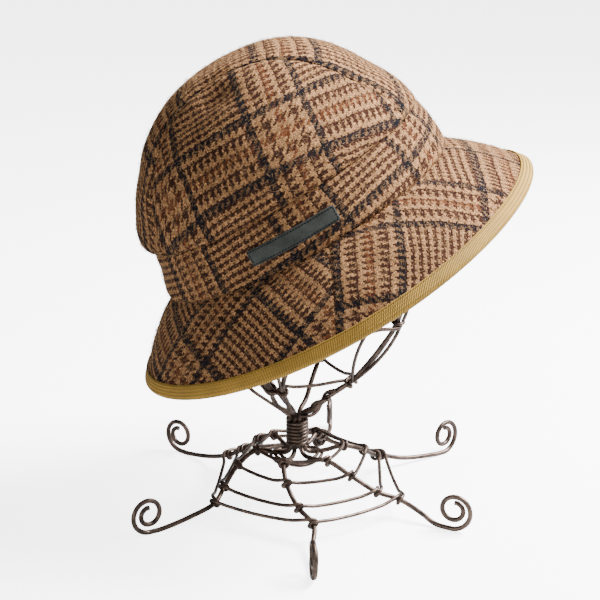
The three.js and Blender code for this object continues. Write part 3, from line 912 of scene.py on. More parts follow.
def ribbon_material():
    """Ribbed mustard ribbon with a soft sheen, and painted shade in the grooves between its ribs."""
    name = "ribbed_ribbon"
    if name in bpy.data.materials:
        return bpy.data.materials[name]
    colours = settings().colours
    material, wires, shader = start_material(name)
    where = wires.node("ShaderNodeTexCoord").outputs["Object"]
    slow, fine, tone = mottle(wires, where, (45.0, 2.0), (2600.0, 2.0), (0.86, 1.12), (0.85, 1.15))
    # The ribs lean: one for each unit along the ribbon, and the second value is millimetres across it.
    along, across, _ = wires.split(wires.node("ShaderNodeAttribute", attribute_name=CLOTH_UV).outputs["Vector"])
    slanted = wires.maths("MULTIPLY_ADD", across, 0.45, along)
    rib = wires.maths("COSINE", wires.maths("MULTIPLY", slanted, FULL_TURN))
    # Painted shade: the colour falls to a quarter in the grooves between the ribs.
    tone = wires.maths("MULTIPLY", tone, wires.spread(rib, -1.0, 0.5, 0.25, 1.12))
    wires.feed(shader.inputs["Base Color"], wires.scale(colours.ribbon[:], tone))
    wires.feed(shader.inputs["Roughness"], wires.spread(slow, 0.3, 0.7, 0.5, 0.64))
    shader.inputs["Specular IOR Level"].default_value = 0.15
    bump(wires, shader, wires.maths("ADD", wires.maths("MULTIPLY", rib, 0.5), fine), 0.00025)
    return material


def patch_material():
    """Dark matt patch with an uneven, slightly worn face."""
    name = "woven_patch"
    if name in bpy.data.materials:
        return bpy.data.materials[name]
    colours = settings().colours
    material, wires, shader = start_material(name)
    where = wires.node("ShaderNodeTexCoord").outputs["Object"]
    _, fine, tone = mottle(wires, where, (120.0, 3.0), (1500.0, 3.0, 0.6), (0.75, 1.35), (0.7, 1.3))
    wires.feed(shader.inputs["Base Color"], wires.scale(colours.patch[:], tone))
    wires.feed(shader.inputs["Roughness"], wires.spread(fine, 0.3, 0.7, 0.7, 0.9))
    shader.inputs["Specular IOR Level"].default_value = 0.15
    bump(wires, shader, fine, 0.00025)
    return material


def thread_material(name, colour):
    """Thread or loose wool, a little uneven in its tone."""
    if name in bpy.data.materials:
        return bpy.data.materials[name]
    material, wires, shader = start_material(name)
    where = wires.node("ShaderNodeTexCoord").outputs["Object"]
    tone = wires.spread(wires.noise(where, 900.0, 2.0)["Fac"], 0.3, 0.7, 0.7, 1.3)
    wires.feed(shader.inputs["Base Color"], wires.scale(tuple(colour), tone))
    shader.inputs["Roughness"].default_value = 0.8
    shader.inputs["Specular IOR Level"].default_value = 0.05
    return material


def wire_material():
    """Bronzed steel wire: dark patina, with brighter metal where it is rubbed."""
    name = "bronzed_wire"
    if name in bpy.data.materials:
        return bpy.data.materials[name]
    colours = settings().colours
    material, wires, shader = start_material(name)
    where = wires.node("ShaderNodeTexCoord").outputs["Object"]
    patina = wires.noise(where, 140.0, 4.0, 0.6)["Fac"]
    fine = wires.noise(where, 1400.0, 3.0, 0.6)["Fac"]
    share = wires.spread(patina, 0.38, 0.66, 0.0, 1.0)
    wires.feed(shader.inputs["Base Color"], wires.mix(share, rgba(colours.wire_dark), rgba(colours.wire)))
    wires.feed(shader.inputs["Roughness"], wires.spread(fine, 0.3, 0.7, 0.3, 0.48))
    shader.inputs["Metallic"].default_value = 0.75
    bump(wires, shader, fine, 0.00012, 0.6)
    return material


# Geometry node trees

def geometry_tree(name, inputs):
    """An empty geometry tree with its named inputs."""
    tree = bpy.data.node_groups.new(name, "GeometryNodeTree")
    kinds = {
        "geometry": "NodeSocketGeometry",
        "length": "NodeSocketFloat",
        "count": "NodeSocketInt",
        "material": "NodeSocketMaterial",
    }
    for label, kind, value in inputs:
        socket = tree.interface.new_socket(label, in_out="INPUT", socket_type=kinds[kind])
        if value is not None:
            socket.default_value = value
    tree.interface.new_socket("Geometry", in_out="OUTPUT", socket_type="NodeSocketGeometry")
    return tree


def end_tree(wires, made, material):
    """Every tree ends in real, dressed geometry."""
    realized = wires.node("GeometryNodeRealizeInstances")
    wires.feed(realized.inputs[0], made)
    dressed = wires.node("GeometryNodeSetMaterial")
    wires.feed(dressed.inputs["Geometry"], realized.outputs[0])
    wires.feed(dressed.inputs["Material"], material)
    output = wires.node("NodeGroupOutput")
    wires.feed(output.inputs[0], dressed.outputs[0])


def wire_tree():
    """Sweeps a round wire along an edge path."""
    name = "bent_wire"
    if name in bpy.data.node_groups:
        return bpy.data.node_groups[name]
    tree = geometry_tree(
        name,
        [
            ("Geometry", "geometry", None),
            ("Radius", "length", 0.001),
            ("Sides", "count", 12),
            ("Metal", "material", None),
        ],
    )
    wires = Wiring(tree)
    given = wires.node("NodeGroupInput").outputs
    path = wires.node("GeometryNodeMeshToCurve")
    wires.feed(path.inputs["Mesh"], given["Geometry"])
    profile = wires.node("GeometryNodeCurvePrimitiveCircle", mode="RADIUS")
    wires.feed(profile.inputs["Resolution"], given["Sides"])
    wires.feed(profile.inputs["Radius"], given["Radius"])
    swept = wires.node("GeometryNodeCurveToMesh")
    wires.feed(swept.inputs["Curve"], path.outputs[0])
    wires.feed(swept.inputs["Profile Curve"], profile.outputs[0])
    wires.feed(swept.inputs["Fill Caps"], True)
    smooth_shade = wires.node("GeometryNodeSetShadeSmooth")
    wires.feed(smooth_shade.inputs["Geometry"], swept.outputs[0])
    end_tree(wires, smooth_shade.outputs[0], given["Metal"])
    return tree


def stitch_tree():
    """Lays stitches along an edge path, flat on the cloth: the path's "out" attribute faces away from it."""
    name = "stitch_row"
    if name in bpy.data.node_groups:
        return bpy.data.node_groups[name]
    tree = geometry_tree(
        name,
        [
            ("Geometry", "geometry", None),
            ("Pitch", "length", 0.0026),
            ("Stitch", "length", 0.002),
            ("Thread", "length", 0.0003),
            ("Material", "material", None),
        ],
    )
    wires = Wiring(tree)
    given = wires.node("NodeGroupInput").outputs
    path = wires.node("GeometryNodeMeshToCurve")
    wires.feed(path.inputs["Mesh"], given["Geometry"])
    points = wires.node("GeometryNodeCurveToPoints", mode="LENGTH")
    wires.feed(points.inputs["Curve"], path.outputs[0])
    wires.feed(points.inputs["Length"], given["Pitch"])
    out = wires.node("GeometryNodeInputNamedAttribute", data_type="FLOAT_VECTOR")
    wires.feed(out.inputs["Name"], "out")
    along = wires.node("FunctionNodeAlignRotationToVector", axis="X")
    wires.feed(along.inputs["Vector"], points.outputs["Tangent"])
    facing = wires.node("FunctionNodeAlignRotationToVector", axis="Z", pivot_axis="X")
    wires.feed(facing.inputs["Rotation"], along.outputs[0])
    wires.feed(facing.inputs["Vector"], out.outputs["Attribute"])
    bead = wires.node("GeometryNodeMeshUVSphere")
    wires.feed(bead.inputs["Segments"], 8)
    wires.feed(bead.inputs["Rings"], 5)
    wires.feed(bead.inputs["Radius"], 1.0)
    size = wires.node("ShaderNodeCombineXYZ")
    wires.feed(size.inputs[0], wires.maths("MULTIPLY", given["Stitch"], 0.5))
    wires.feed(size.inputs[1], given["Thread"])
    wires.feed(size.inputs[2], given["Thread"])
    long = wires.node("GeometryNodeTransform")
    wires.feed(long.inputs["Geometry"], bead.outputs[0])
    wires.feed(long.inputs["Scale"], size.outputs[0])
    placed = wires.node("GeometryNodeInstanceOnPoints")
    wires.feed(placed.inputs["Points"], points.outputs["Points"])
    wires.feed(placed.inputs["Instance"], long.outputs[0])
    wires.feed(placed.inputs["Rotation"], facing.outputs[0])
    end_tree(wires, placed.outputs[0], given["Material"])
    return tree


def fibre_tree():
    """Scatters short bent fibres over a surface."""
    tree = geometry_tree(
        "loose_fibres",
        [
            ("Geometry", "geometry", None),
            ("Density", "length", 100000.0),
            ("Reach", "length", 0.0024),
            ("Thickness", "length", 0.00006),
            ("Seed", "count", 3),
            ("Wool", "material", None),
        ],
    )
    wires = Wiring(tree)
    given = wires.node("NodeGroupInput").outputs
    scattered = wires.node("GeometryNodeDistributePointsOnFaces")
    wires.feed(scattered.inputs["Mesh"], given["Geometry"])
    wires.feed(scattered.inputs["Density"], given["Density"])
    wires.feed(scattered.inputs["Seed"], given["Seed"])
    bend = wires.node("GeometryNodeCurveQuadraticBezier")
    wires.feed(bend.inputs["Resolution"], 2)
    wires.feed(bend.inputs["Start"], (0.0, 0.0, -0.05))
    wires.feed(bend.inputs["Middle"], (0.45, 0.1, 0.5))
    wires.feed(bend.inputs["End"], (1.0, 0.0, 0.2))
    profile = wires.node("GeometryNodeCurvePrimitiveCircle", mode="RADIUS")
    wires.feed(profile.inputs["Resolution"], 3)
    wires.feed(profile.inputs["Radius"], wires.maths("DIVIDE", given["Thickness"], given["Reach"]))
    fibre = wires.node("GeometryNodeCurveToMesh")
    wires.feed(fibre.inputs["Curve"], bend.outputs[0])
    wires.feed(fibre.inputs["Profile Curve"], profile.outputs[0])
    turn = wires.node("FunctionNodeRandomValue", data_type="FLOAT_VECTOR")
    wires.feed(turn.inputs[0], (-0.35, -0.35, 0.0))
    wires.feed(turn.inputs[1], (0.35, 0.35, FULL_TURN))
    wires.feed(turn.inputs["Seed"], given["Seed"])
    turned = wires.node("FunctionNodeRotateRotation", rotation_space="LOCAL")
    wires.feed(turned.inputs["Rotation"], scattered.outputs["Rotation"])
    wires.feed(turned.inputs["Rotate By"], turn.outputs[0])
    size = wires.node("FunctionNodeRandomValue", data_type="FLOAT")
    wires.feed(size.inputs[2], wires.maths("MULTIPLY", given["Reach"], 0.5))
    wires.feed(size.inputs[3], wires.maths("MULTIPLY", given["Reach"], 1.5))
    placed_at = wires.node("GeometryNodeInstanceOnPoints")
    wires.feed(placed_at.inputs["Points"], scattered.outputs["Points"])
    wires.feed(placed_at.inputs["Instance"], fibre.outputs[0])
    wires.feed(placed_at.inputs["Rotation"], turned.outputs[0])
    wires.feed(placed_at.inputs["Scale"], size.outputs[1])
    end_tree(wires, placed_at.outputs[0], given["Wool"])
    return tree


def run_tree(name, source, tree, **values):
    """Runs a geometry tree on a mesh object and keeps the result as a plain mesh."""
    modifier = source.modifiers.new("make", "NODES")
    modifier.node_group = tree
    labels = {
        item.name: item.identifier
        for item in tree.interface.items_tree
        if item.item_type == "SOCKET" and item.in_out == "INPUT"
    }
    for key, value in values.items():
        modifier[labels[key.capitalize()]] = value
    bpy.context.view_layer.update()
    depsgraph = bpy.context.evaluated_depsgraph_get()
    mesh = bpy.data.meshes.new_from_object(source.evaluated_get(depsgraph), depsgraph=depsgraph)
    mesh.name = name
    bpy.data.objects.remove(source)
    piece = bpy.data.objects.new(name, mesh)
    bpy.context.scene.collection.objects.link(piece)
    return piece


def edge_path(name, points, closed=False, out=None):
    """A mesh of edges through points in the row frame, with an optional facing at each."""
    mesh = bpy.data.meshes.new(name)
    count = len(points)
    edges = [(i, i + 1) for i in range(count - 1)] + ([(count - 1, 0)] if closed else [])
    mesh.from_pydata([tuple(p) for p in points], edges, [])
    if out is not None:
        attribute = mesh.attributes.new("out", "FLOAT_VECTOR", "POINT")
        attribute.data.foreach_set("vector", np.asarray(out, np.float32).ravel())
    source = bpy.data.objects.new(name + "_path", mesh)
    bpy.context.scene.collection.objects.link(source)
    return source


def bent_wire(name, points, radius, closed=False, sides=12):
    """A round wire along a path in the row frame, in metres."""
    source = edge_path(name, points, closed)
    return run_tree(name, source, wire_tree(), radius=radius, sides=sides, metal=wire_material())


# Hat pieces, in hat millimetres

# The outer grid of each sewn piece, kept for the loose fibres.
OUTER = {}


def seam_dip(away, hat):
    """How far the cloth dips at a distance from a seam, in millimetres."""
    reach = hat.seam_reach / MM
    return hat.seam_depth / MM * np.exp(-((away / reach) ** 2))


def puckers(along, away, seed, hat):
    """Small gathers, about 11 mm long, that die out 9 mm from a seam."""
    length, reach = 11.0, 9.0
    return hat.pucker / MM * waves(along, 0.25 * away, length, seed) * np.exp(-((away / reach) ** 2))


def shape_cloth(grid, seams, along, seed, hat, wraps=False, swell=0.35):
    """Moves a smooth grid along its normals: soft swells all over, dips and puckers at its seams.

    Each seam is given as the distance from it and its depth as a share of the usual one.
    """
    swell_length = 46.0
    normals = steady(surface_normals(grid, wraps))
    lift = swell * waves(grid[..., 0] + grid[..., 2], grid[..., 1] - 0.4 * grid[..., 2], swell_length, seed)
    for away, depth in seams:
        lift = lift - depth * seam_dip(away, hat) + puckers(along, away, seed, hat)
    return grid + normals * lift[..., None]


def piled(grid, axis=0):
    """Distance along a grid's columns or rows, from the first point of each."""
    steps = np.linalg.norm(np.diff(grid, axis=axis), axis=-1)
    none = np.zeros_like(grid[:1, :, 0] if axis == 0 else grid[:, :1, 0])
    return np.concatenate([none, steps], axis=axis).cumsum(axis)


def crown_strip(hat):
    """The strip's outer points and their places on the flat cloth."""
    crown = crown_surface()
    front = seam_corner(crown, True, hat)
    back = seam_corner(crown, False, hat)
    cell = hat.cell / MM
    length, width = 300, 78
    s = np.linspace(-1, 1, round(length / cell))[None, :]
    t = np.linspace(-1, 1, round(width / cell))[:, None]
    ends = np.where(s > 0, front, back)
    q_end, p_end = np.sin(ends), np.cos(ends)
    edge = seam_on_disc(crown, s * p_end, hat)
    q = t * edge
    p = s * np.sqrt(1 - (t * q_end) ** 2)
    grid = press_hollows(crown.point(1 - np.clip(np.hypot(p, q), 0, 1), np.arctan2(q, p)))
    across = piled(grid)
    across = across - across[len(across) // 2]
    middle = run_lengths(grid[len(grid) // 2])
    along = np.broadcast_to(middle - middle[len(middle) // 2], across.shape)
    away_right, away_left = across - across[0], across[-1] - across
    away_back = piled(grid, axis=1)
    away_front = away_back[:, -1:] - away_back
    seams = [(away_right, 1.0), (away_left, 1.0), (away_back, 1.1), (away_front, 0.5)]
    return shape_cloth(grid, seams, along, 1, hat), np.stack([along, across], axis=-1)


# How far a side panel runs on under the strip, as shares of the crown's half width, and how much
# lower it lies there, in millimetres.
SEAM_ALLOWANCE = np.array([0.018, 0.036])
ALLOWANCE_DEPTH = 0.7


def crown_side(hat, sign):
    """One side panel. sign is -1 for the right side and 1 for the left."""
    crown = crown_surface()
    front = seam_corner(crown, True, hat)
    back = seam_corner(crown, False, hat)
    cell = hat.cell / MM
    length, height = 280, 105
    share = np.linspace(0, 1, round(length / cell))
    share = share - 0.9 * np.sin(FULL_TURN * share) / FULL_TURN  # closer together near the corners
    turn = front + (math.pi - back - front) * share
    p_seam = math.cos(front) - (math.cos(front) + math.cos(back)) * share
    q_seam = seam_on_disc(crown, p_seam, hat)
    v = np.linspace(0, 1, round(height / cell))[:, None]
    under = SEAM_ALLOWANCE[:, None]
    p = np.concatenate([(1 - v) * np.cos(turn) + v * p_seam, p_seam + 0 * under])
    q = np.concatenate([(1 - v) * np.sin(turn) + v * q_seam, q_seam - under])
    level, bearing = 1 - np.clip(np.hypot(p, q), 0, 1), np.arctan2(q, p)
    grid = crown.point(level, bearing)
    if sign < 0:
        grid = grid * np.array([1, -1, 1])
    grid = press_hollows(grid)
    u_lines = panel_across(crown, level, bearing)
    v_lines = panel_up(crown, level, grid[..., 0])
    up = piled(grid)
    sewn = -len(SEAM_ALLOWANCE)
    away_seam = np.maximum(up[sewn - 1] - up, 0)
    up[sewn:] = up[sewn - 1]
    if sign < 0:
        grid, up, away_seam, u_lines, v_lines = (a[:, ::-1] for a in (grid, up, away_seam, u_lines, v_lines))
    shaped = shape_cloth(grid, [(away_seam, 1.0), (up, 0.9)], u_lines, 3 - sign, hat)
    shaped[sewn:] *= 1 - ALLOWANCE_DEPTH / np.linalg.norm(shaped[sewn:], axis=-1, keepdims=True)
    return shaped, np.stack([u_lines, v_lines], axis=-1)


def panel_across(crown, level, bearing):
    """Distance round the ring from the hat's side, forwards."""
    total = np.zeros_like(bearing)
    steps = 48
    for k in range(steps):
        at = math.pi / 2 + (bearing - math.pi / 2) * (k + 0.5) / steps
        front, back, side, _ = crown.ring(level)
        end = np.where(np.cos(at) > 0, front, back)
        total += np.hypot(end * np.sin(at), side * np.cos(at)) * (math.pi / 2 - bearing) / steps
    return total


def panel_up(crown, level, x):
    """Distance up the panel from the band, in the plane across the hat at that place."""
    total = np.zeros_like(level)
    steps = 60
    before = None
    for k in range(steps + 1):
        front, back, side, up = crown.ring(level * k / steps)
        end = np.where(x > 0, front, back)
        out = side * np.sqrt(np.clip(1 - (x / np.maximum(end, 1e-6)) ** 2, 0, 1))
        if before is not None:
            total += np.hypot(out - before[0], up - before[1])
        before = (out, up)
    return total


def band_grid(hat):
    """The band's outer points and their places on the flat cloth. It joins at the back."""
    band = band_surface()
    cell = hat.cell / MM
    length, height = 620, 40
    turn = np.linspace(-math.pi, math.pi, round(length / cell))[None, :]
    level = np.linspace(0, 1, round(height / cell))[:, None]
    grid = band.point(level + 0 * turn, turn + 0 * level)
    around = run_lengths(grid[len(grid) // 2])
    around = np.broadcast_to(around - around[-1] / 2, grid.shape[:2])
    up = piled(grid)
    back_share = 0.5 - 0.5 * np.cos(turn + 0 * level)
    wrinkles = 0.5 * back_share * waves(around, 0.9 * up, 34.0, 6)
    shaped = shape_cloth(grid, [(up, 0.5), (up[-1:] - up, 0.9)], around, 5, hat, wraps=True, swell=0.2)
    normals = surface_normals(shaped, True)
    shaped = shaped + normals * (wrinkles * np.sin(math.pi * level))[..., None]
    shaped[:, -1] = shaped[:, 0]
    return shaped, np.stack([around, up], axis=-1)


def brim_point(out, bearing):
    """A point of the brim's top, out from 0 at the seam to 1 at the rim."""
    way, drop = (smooth(BRIM_SECTIONS[:, 0], BRIM_SECTIONS[:, k], out) for k in (0, 1))
    along, across = np.cos(bearing), np.sin(bearing)
    rim_end = np.where(along > 0, RIM_HIGH[0], -RIM_LOW[0])
    end = SEAM_HALF_LENGTH + (rim_end - SEAM_HALF_LENGTH) * way
    side = SEAM_HALF_WIDTH + (RIM_HIGH[1] - SEAM_HALF_WIDTH) * way
    down = 0.4 + drop * (BRIM_DROP_ENDS * along**2 + BRIM_DROP_SIDES * across**2)
    return np.stack([end * along, side * across, -down], axis=-1)


# How far the rim hangs below the seam at its ends and at its sides, in millimetres.
BRIM_DROP_ENDS = 39.0
BRIM_DROP_SIDES = 46.5
# The side seams' bearing at the band and at the rim, in degrees, and how far the halves overlap there.
SEAM_BEARING = (82.0, 93.0)
SEAM_OVERLAP = 0.008


def laid_flat(grid, slant):
    """A sloping strip rolled out flat: its inner edge bends as much as its outer edge is longer."""
    inner, outer = (np.diff(run_lengths(grid[row])) for row in (0, -1))
    turns = (outer - inner) / ((slant[-1, 1:] + slant[-1, :-1]) / 2)
    heading = np.concatenate([[0.0], np.cumsum(turns)])
    heading -= heading[len(heading) // 2]
    middle = (heading[1:] + heading[:-1]) / 2
    edge_steps = np.stack([inner * np.cos(middle), -inner * np.sin(middle)], axis=1)
    edge = np.concatenate([np.zeros((1, 2)), np.cumsum(edge_steps, axis=0)])
    edge -= edge[len(edge) // 2]
    outwards = np.stack([np.sin(heading), np.cos(heading)], axis=1)
    return edge[None] + slant[..., None] * outwards[None]


def brim_grid(hat, front):
    """Half of the brim, from side seam to side seam. Its first rows are tucked in under the band."""
    cell = hat.cell / MM
    length, width = 420, 62
    tucked = 2
    under = np.linspace(BRIM_SECTIONS[0, 0], 0, tucked, endpoint=False)
    out = np.concatenate([under, np.linspace(0, 1, round(width / cell))])[:, None]
    seam = np.radians(SEAM_BEARING[0] + (SEAM_BEARING[1] - SEAM_BEARING[0]) * np.clip(out, 0, 1))
    share = np.linspace(1, -1, round(length / cell))[None, :] * (1 + SEAM_OVERLAP)
    bearing = share * seam if front else math.pi + share * (math.pi - seam)
    grid = brim_point(out + 0 * share, bearing)
    slant = piled(grid)
    slant -= slant[tucked]
    uv = laid_flat(grid[tucked:], slant[tucked:])
    tuck = uv[0] + (uv[1] - uv[0]) * (slant[:tucked] / slant[tucked + 1])[..., None]
    uv = np.concatenate([tuck, uv])
    run = piled(grid, axis=1)
    seams = [(slant, 0.4), (run, 0.8), (run[:, -1:] - run, 0.8)]
    shaped = shape_cloth(grid, seams, run, 7 if front else 9, hat, swell=0.5)
    return shaped, uv


# How each piece lies on the checked cloth: its shift in millimetres, then how much it is stretched,
# leans and tilts there, and how much the cloth bows and fans out as it is pulled to shape.
CLOTH_LAY = {
    # piece: right, up, stretch, lean, tilt, rise, bow, fan
    "crown_strip": (-23.5, 76.2, 1, 0, 0, 1, 0, 0.004),
    "crown_right": (-1.7, -22.3, 1, -0.07, 0, 1, 0.0019, 0),
    "crown_left": (-1.7, -22.3, 1, -0.07, 0, 1, 0.0019, 0),
    "band": (159.0, 18.9, 1, 0.115, -0.115, 1, 0, 0),
    "front_brim": (-70.0, 85.0, 1.2, -0.06, -0.09, 0.9, 0, 0),
    "back_brim": (104.5, 9.5, 0.961, -0.276, 0.298, 1.038, 0, 0),
}


def lay_cloth(uv, right, up, stretch, lean, tilt, rise, bow, fan):
    """Where a piece's points lie on the checked cloth, in millimetres."""
    u, v = uv[..., 0], uv[..., 1]
    across = (stretch * u + lean * v) * (1 + fan * v) + right
    along = tilt * u + rise * v + bow * u * u * (1 - v / 130) + up
    return np.stack([across, along], axis=-1)


def sewn_piece(name, grid, uv, thickness, nodes, wraps=False):
    """A cloth piece: closed wall and tweed."""
    laid = lay_cloth(uv, *CLOTH_LAY[name])
    OUTER[name] = grid
    piece = cloth_wall(name, grid, laid, thickness, wraps)
    dress(piece, tweed_material(), "tweed", *nodes)
    return piece


class HAT_OT_crown(bpy.types.Operator):
    """Sews the crown: a centre strip and two side panels"""

    bl_idname = "hat.crown"
    bl_label = "Crown"

    def execute(self, context):
        hat = settings().hat
        thickness = hat.cloth / MM
        grid, uv = crown_strip(hat)
        sewn_piece("crown_strip", grid, uv, thickness, ["crown_centre_strip"])
        grid, uv = crown_side(hat, -1)
        sewn_piece("crown_right", grid, uv, thickness, ["crown_right_panel"])
        grid, uv = crown_side(hat, 1)
        sewn_piece("crown_left", grid, uv, thickness, ["crown_left_panel"])
        return {"FINISHED"}


class HAT_OT_band(bpy.types.Operator):
    """Sews the band between the crown and the brim"""

    bl_idname = "hat.band"
    bl_label = "Band"

    def execute(self, context):
        hat = settings().hat
        grid, uv = band_grid(hat)
        sewn_piece("band", grid, uv, hat.cloth / MM, ["hat_band"], wraps=True)
        return {"FINISHED"}


class HAT_OT_brim(bpy.types.Operator):
    """Sews the two halves of the brim"""

    bl_idname = "hat.brim"
    bl_label = "Brim"

    def execute(self, context):
        hat = settings().hat
        for front, name, node in ((True, "front_brim", "brim_front"), (False, "back_brim", "brim_back")):
            grid, uv = brim_grid(hat, front)
            sewn_piece(name, grid, uv, hat.brim / MM, [node])
        return {"FINISHED"}


def under_patch(points, hat):
    """Which points of the band the patch lies on, or lies close to."""
    x, y, z = points.T
    margin = 2.0
    near_x = np.abs(x + hat.patch_back / MM) < hat.patch_length / MM / 2 + margin
    near_z = np.abs(z - hat.patch_height / MM) < hat.patch_width / MM / 2 + margin
    return near_x & near_z & (y < 0)


class HAT_OT_fibres(bpy.types.Operator):
    """Scatters loose wool fibres over the tweed"""

    bl_idname = "hat.fibres"
    bl_label = "Fibres"

    def execute(self, context):
        hat = settings().hat
        wool = thread_material("loose_wool", settings().colours.wool)
        tree = fibre_tree()
        groups = (
            ("crown_fibres", ("crown_strip", "crown_right", "crown_left")),
            ("band_fibres", ("band",)),
            ("brim_fibres", ("front_brim", "back_brim")),
        )
        for seed, (name, pieces) in enumerate(groups):
            points, faces = [], []
            for piece in pieces:
                grid = OUTER[piece]
                if name == "brim_fibres":
                    grid = grid[: -math.ceil(1.2 * hat.binding / hat.cell)]
                start = sum(len(p) for p in points)
                bare = under_patch(grid.reshape(-1, 3), hat)
                faces += [f for f in grid_faces(*grid.shape[:2], start) if not bare[np.array(f) - start].any()]
                points.append(to_world(grid.reshape(-1, 3)))
            mesh = bpy.data.meshes.new(name)
            mesh.from_pydata([tuple(p) for p in np.concatenate(points)], [], faces)
            source = bpy.data.objects.new(name + "_ground", mesh)
            bpy.context.scene.collection.objects.link(source)
            row = run_tree(
                name, source, tree,
                density=hat.fibres, reach=hat.fibre_reach, thickness=hat.fibre_thickness, seed=seed, wool=wool,
            )
            dress(row, wool, "tweed")
        return {"FINISHED"}


def rim_frames(count):
    """Middle of the brim's edge, with its outward and upward directions, all round, in hat millimetres."""
    bearing = np.linspace(0, FULL_TURN, count, endpoint=False)
    rim = brim_point(np.ones(count), bearing)
    before = brim_point(np.full(count, 0.985), bearing)
    outwards = rim - before
    outwards /= np.linalg.norm(outwards, axis=1, keepdims=True)
    around = np.roll(rim, -1, 0) - np.roll(rim, 1, 0)
    around /= np.linalg.norm(around, axis=1, keepdims=True)
    upwards = np.cross(outwards, around)
    upwards *= np.sign(upwards[:, 2:3])
    outwards = np.cross(around, upwards)
    outwards *= np.sign((outwards * (rim - before)).sum(1, keepdims=True))
    middle = rim - upwards * settings().hat.brim / MM / 2
    return middle, outwards, upwards


# About how far it is round the rim, in millimetres: it sets how many ribs the ribbon has.
RIM_LENGTH = 905
POINTS_PER_RIB = 4


class HAT_OT_binding(bpy.types.Operator):
    """Folds the ribbed ribbon round the rim and stitches it down"""

    bl_idname = "hat.binding"
    bl_label = "Binding"

    def execute(self, context):
        hat = settings().hat
        count = round(RIM_LENGTH / (hat.rib_pitch / MM)) * POINTS_PER_RIB
        middle, outwards, upwards = rim_frames(count)
        inside = hat.brim / MM / 2 + 0.15
        outside = inside + hat.ribbon / MM
        width = hat.binding / MM
        nose = [(outside * 0.9 * math.sin(a), outside * math.cos(a)) for a in np.linspace(0, math.pi, 9)]
        outer = [(-width, outside - 0.25), (-width * 0.9, outside), (-width * 0.5, outside)] + nose
        outer += [(-width * 0.5, -outside), (-width * 0.9, -outside), (-width, 0.25 - outside)]
        inner = [(-width, -inside), (0.0, -inside), (0.0, inside), (-width, inside)]
        ribs = 0.09 * np.cos(FULL_TURN * np.arange(count) / POINTS_PER_RIB)
        rings = []
        for k, (along, up) in enumerate(outer + inner):
            swell = ribs if 0 < k < len(outer) - 1 else 0 * ribs
            size = math.hypot(max(along, 0), up)
            push_out, push_up = max(along, 0) / size, up / size
            rings.append(
                middle
                + outwards * (along + swell * push_out)[:, None]
                + upwards * (up + swell * push_up)[:, None]
            )
        sections = np.stack(rings, axis=1)
        sections = np.concatenate([sections, sections[:1]])
        size = sections.shape[1]
        faces = []
        for c in range(count):
            here, there = c * size, (c + 1) * size
            for k in range(size):
                j = (k + 1) % size
                faces.append((here + k, here + j, there + j, there + k))
        across = run_lengths(np.array(outer + inner))
        ribs_along = np.arange(count + 1) / POINTS_PER_RIB
        uv = np.stack(np.broadcast_arrays(ribs_along[:, None], across[None, :]), axis=-1).reshape(-1, 2)
        piece = finish_mesh("binding", to_world(sections.reshape(-1, 3)), faces, uv)
        dress(piece, ribbon_material(), "ribbon", "brim_binding")

        colour = tuple(0.3 * c for c in settings().colours.ribbon)
        thread = thread_material("ribbon_thread", colour)
        every = 6
        for name, side in (("binding_stitches_top", 1), ("binding_stitches_under", -1)):
            line = middle - outwards * (width - 1.3) + upwards * side * (outside + 0.02)
            facing = (side * upwards[::every]) @ np.array(HAT_TURN).T
            source = edge_path(name, to_world(line[::every]), True, facing)
            sizes = {"pitch": hat.stitch, "stitch": hat.stitch * 0.8, "thread": 0.22 * MM}
            dress(run_tree(name, source, stitch_tree(), material=thread, **sizes), thread, "ribbon")
        return {"FINISHED"}


def band_outside(x, height):
    """A point on the right side of the band and its outward direction, in hat millimetres."""
    band = band_surface()
    level = np.interp(height, band.rows[:, 3], band.knots)
    front, back, side, _ = band.ring(level)
    end = np.where(x > 0, front, back)
    slope = np.sqrt(1 - (x / end) ** 2)
    point = np.stack([x + 0 * height, -side * slope, height + 0 * x], axis=-1)
    normal = np.stack([x / end**2, -slope / side, 0 * x], axis=-1)
    return point, normal / np.linalg.norm(normal, axis=-1, keepdims=True)


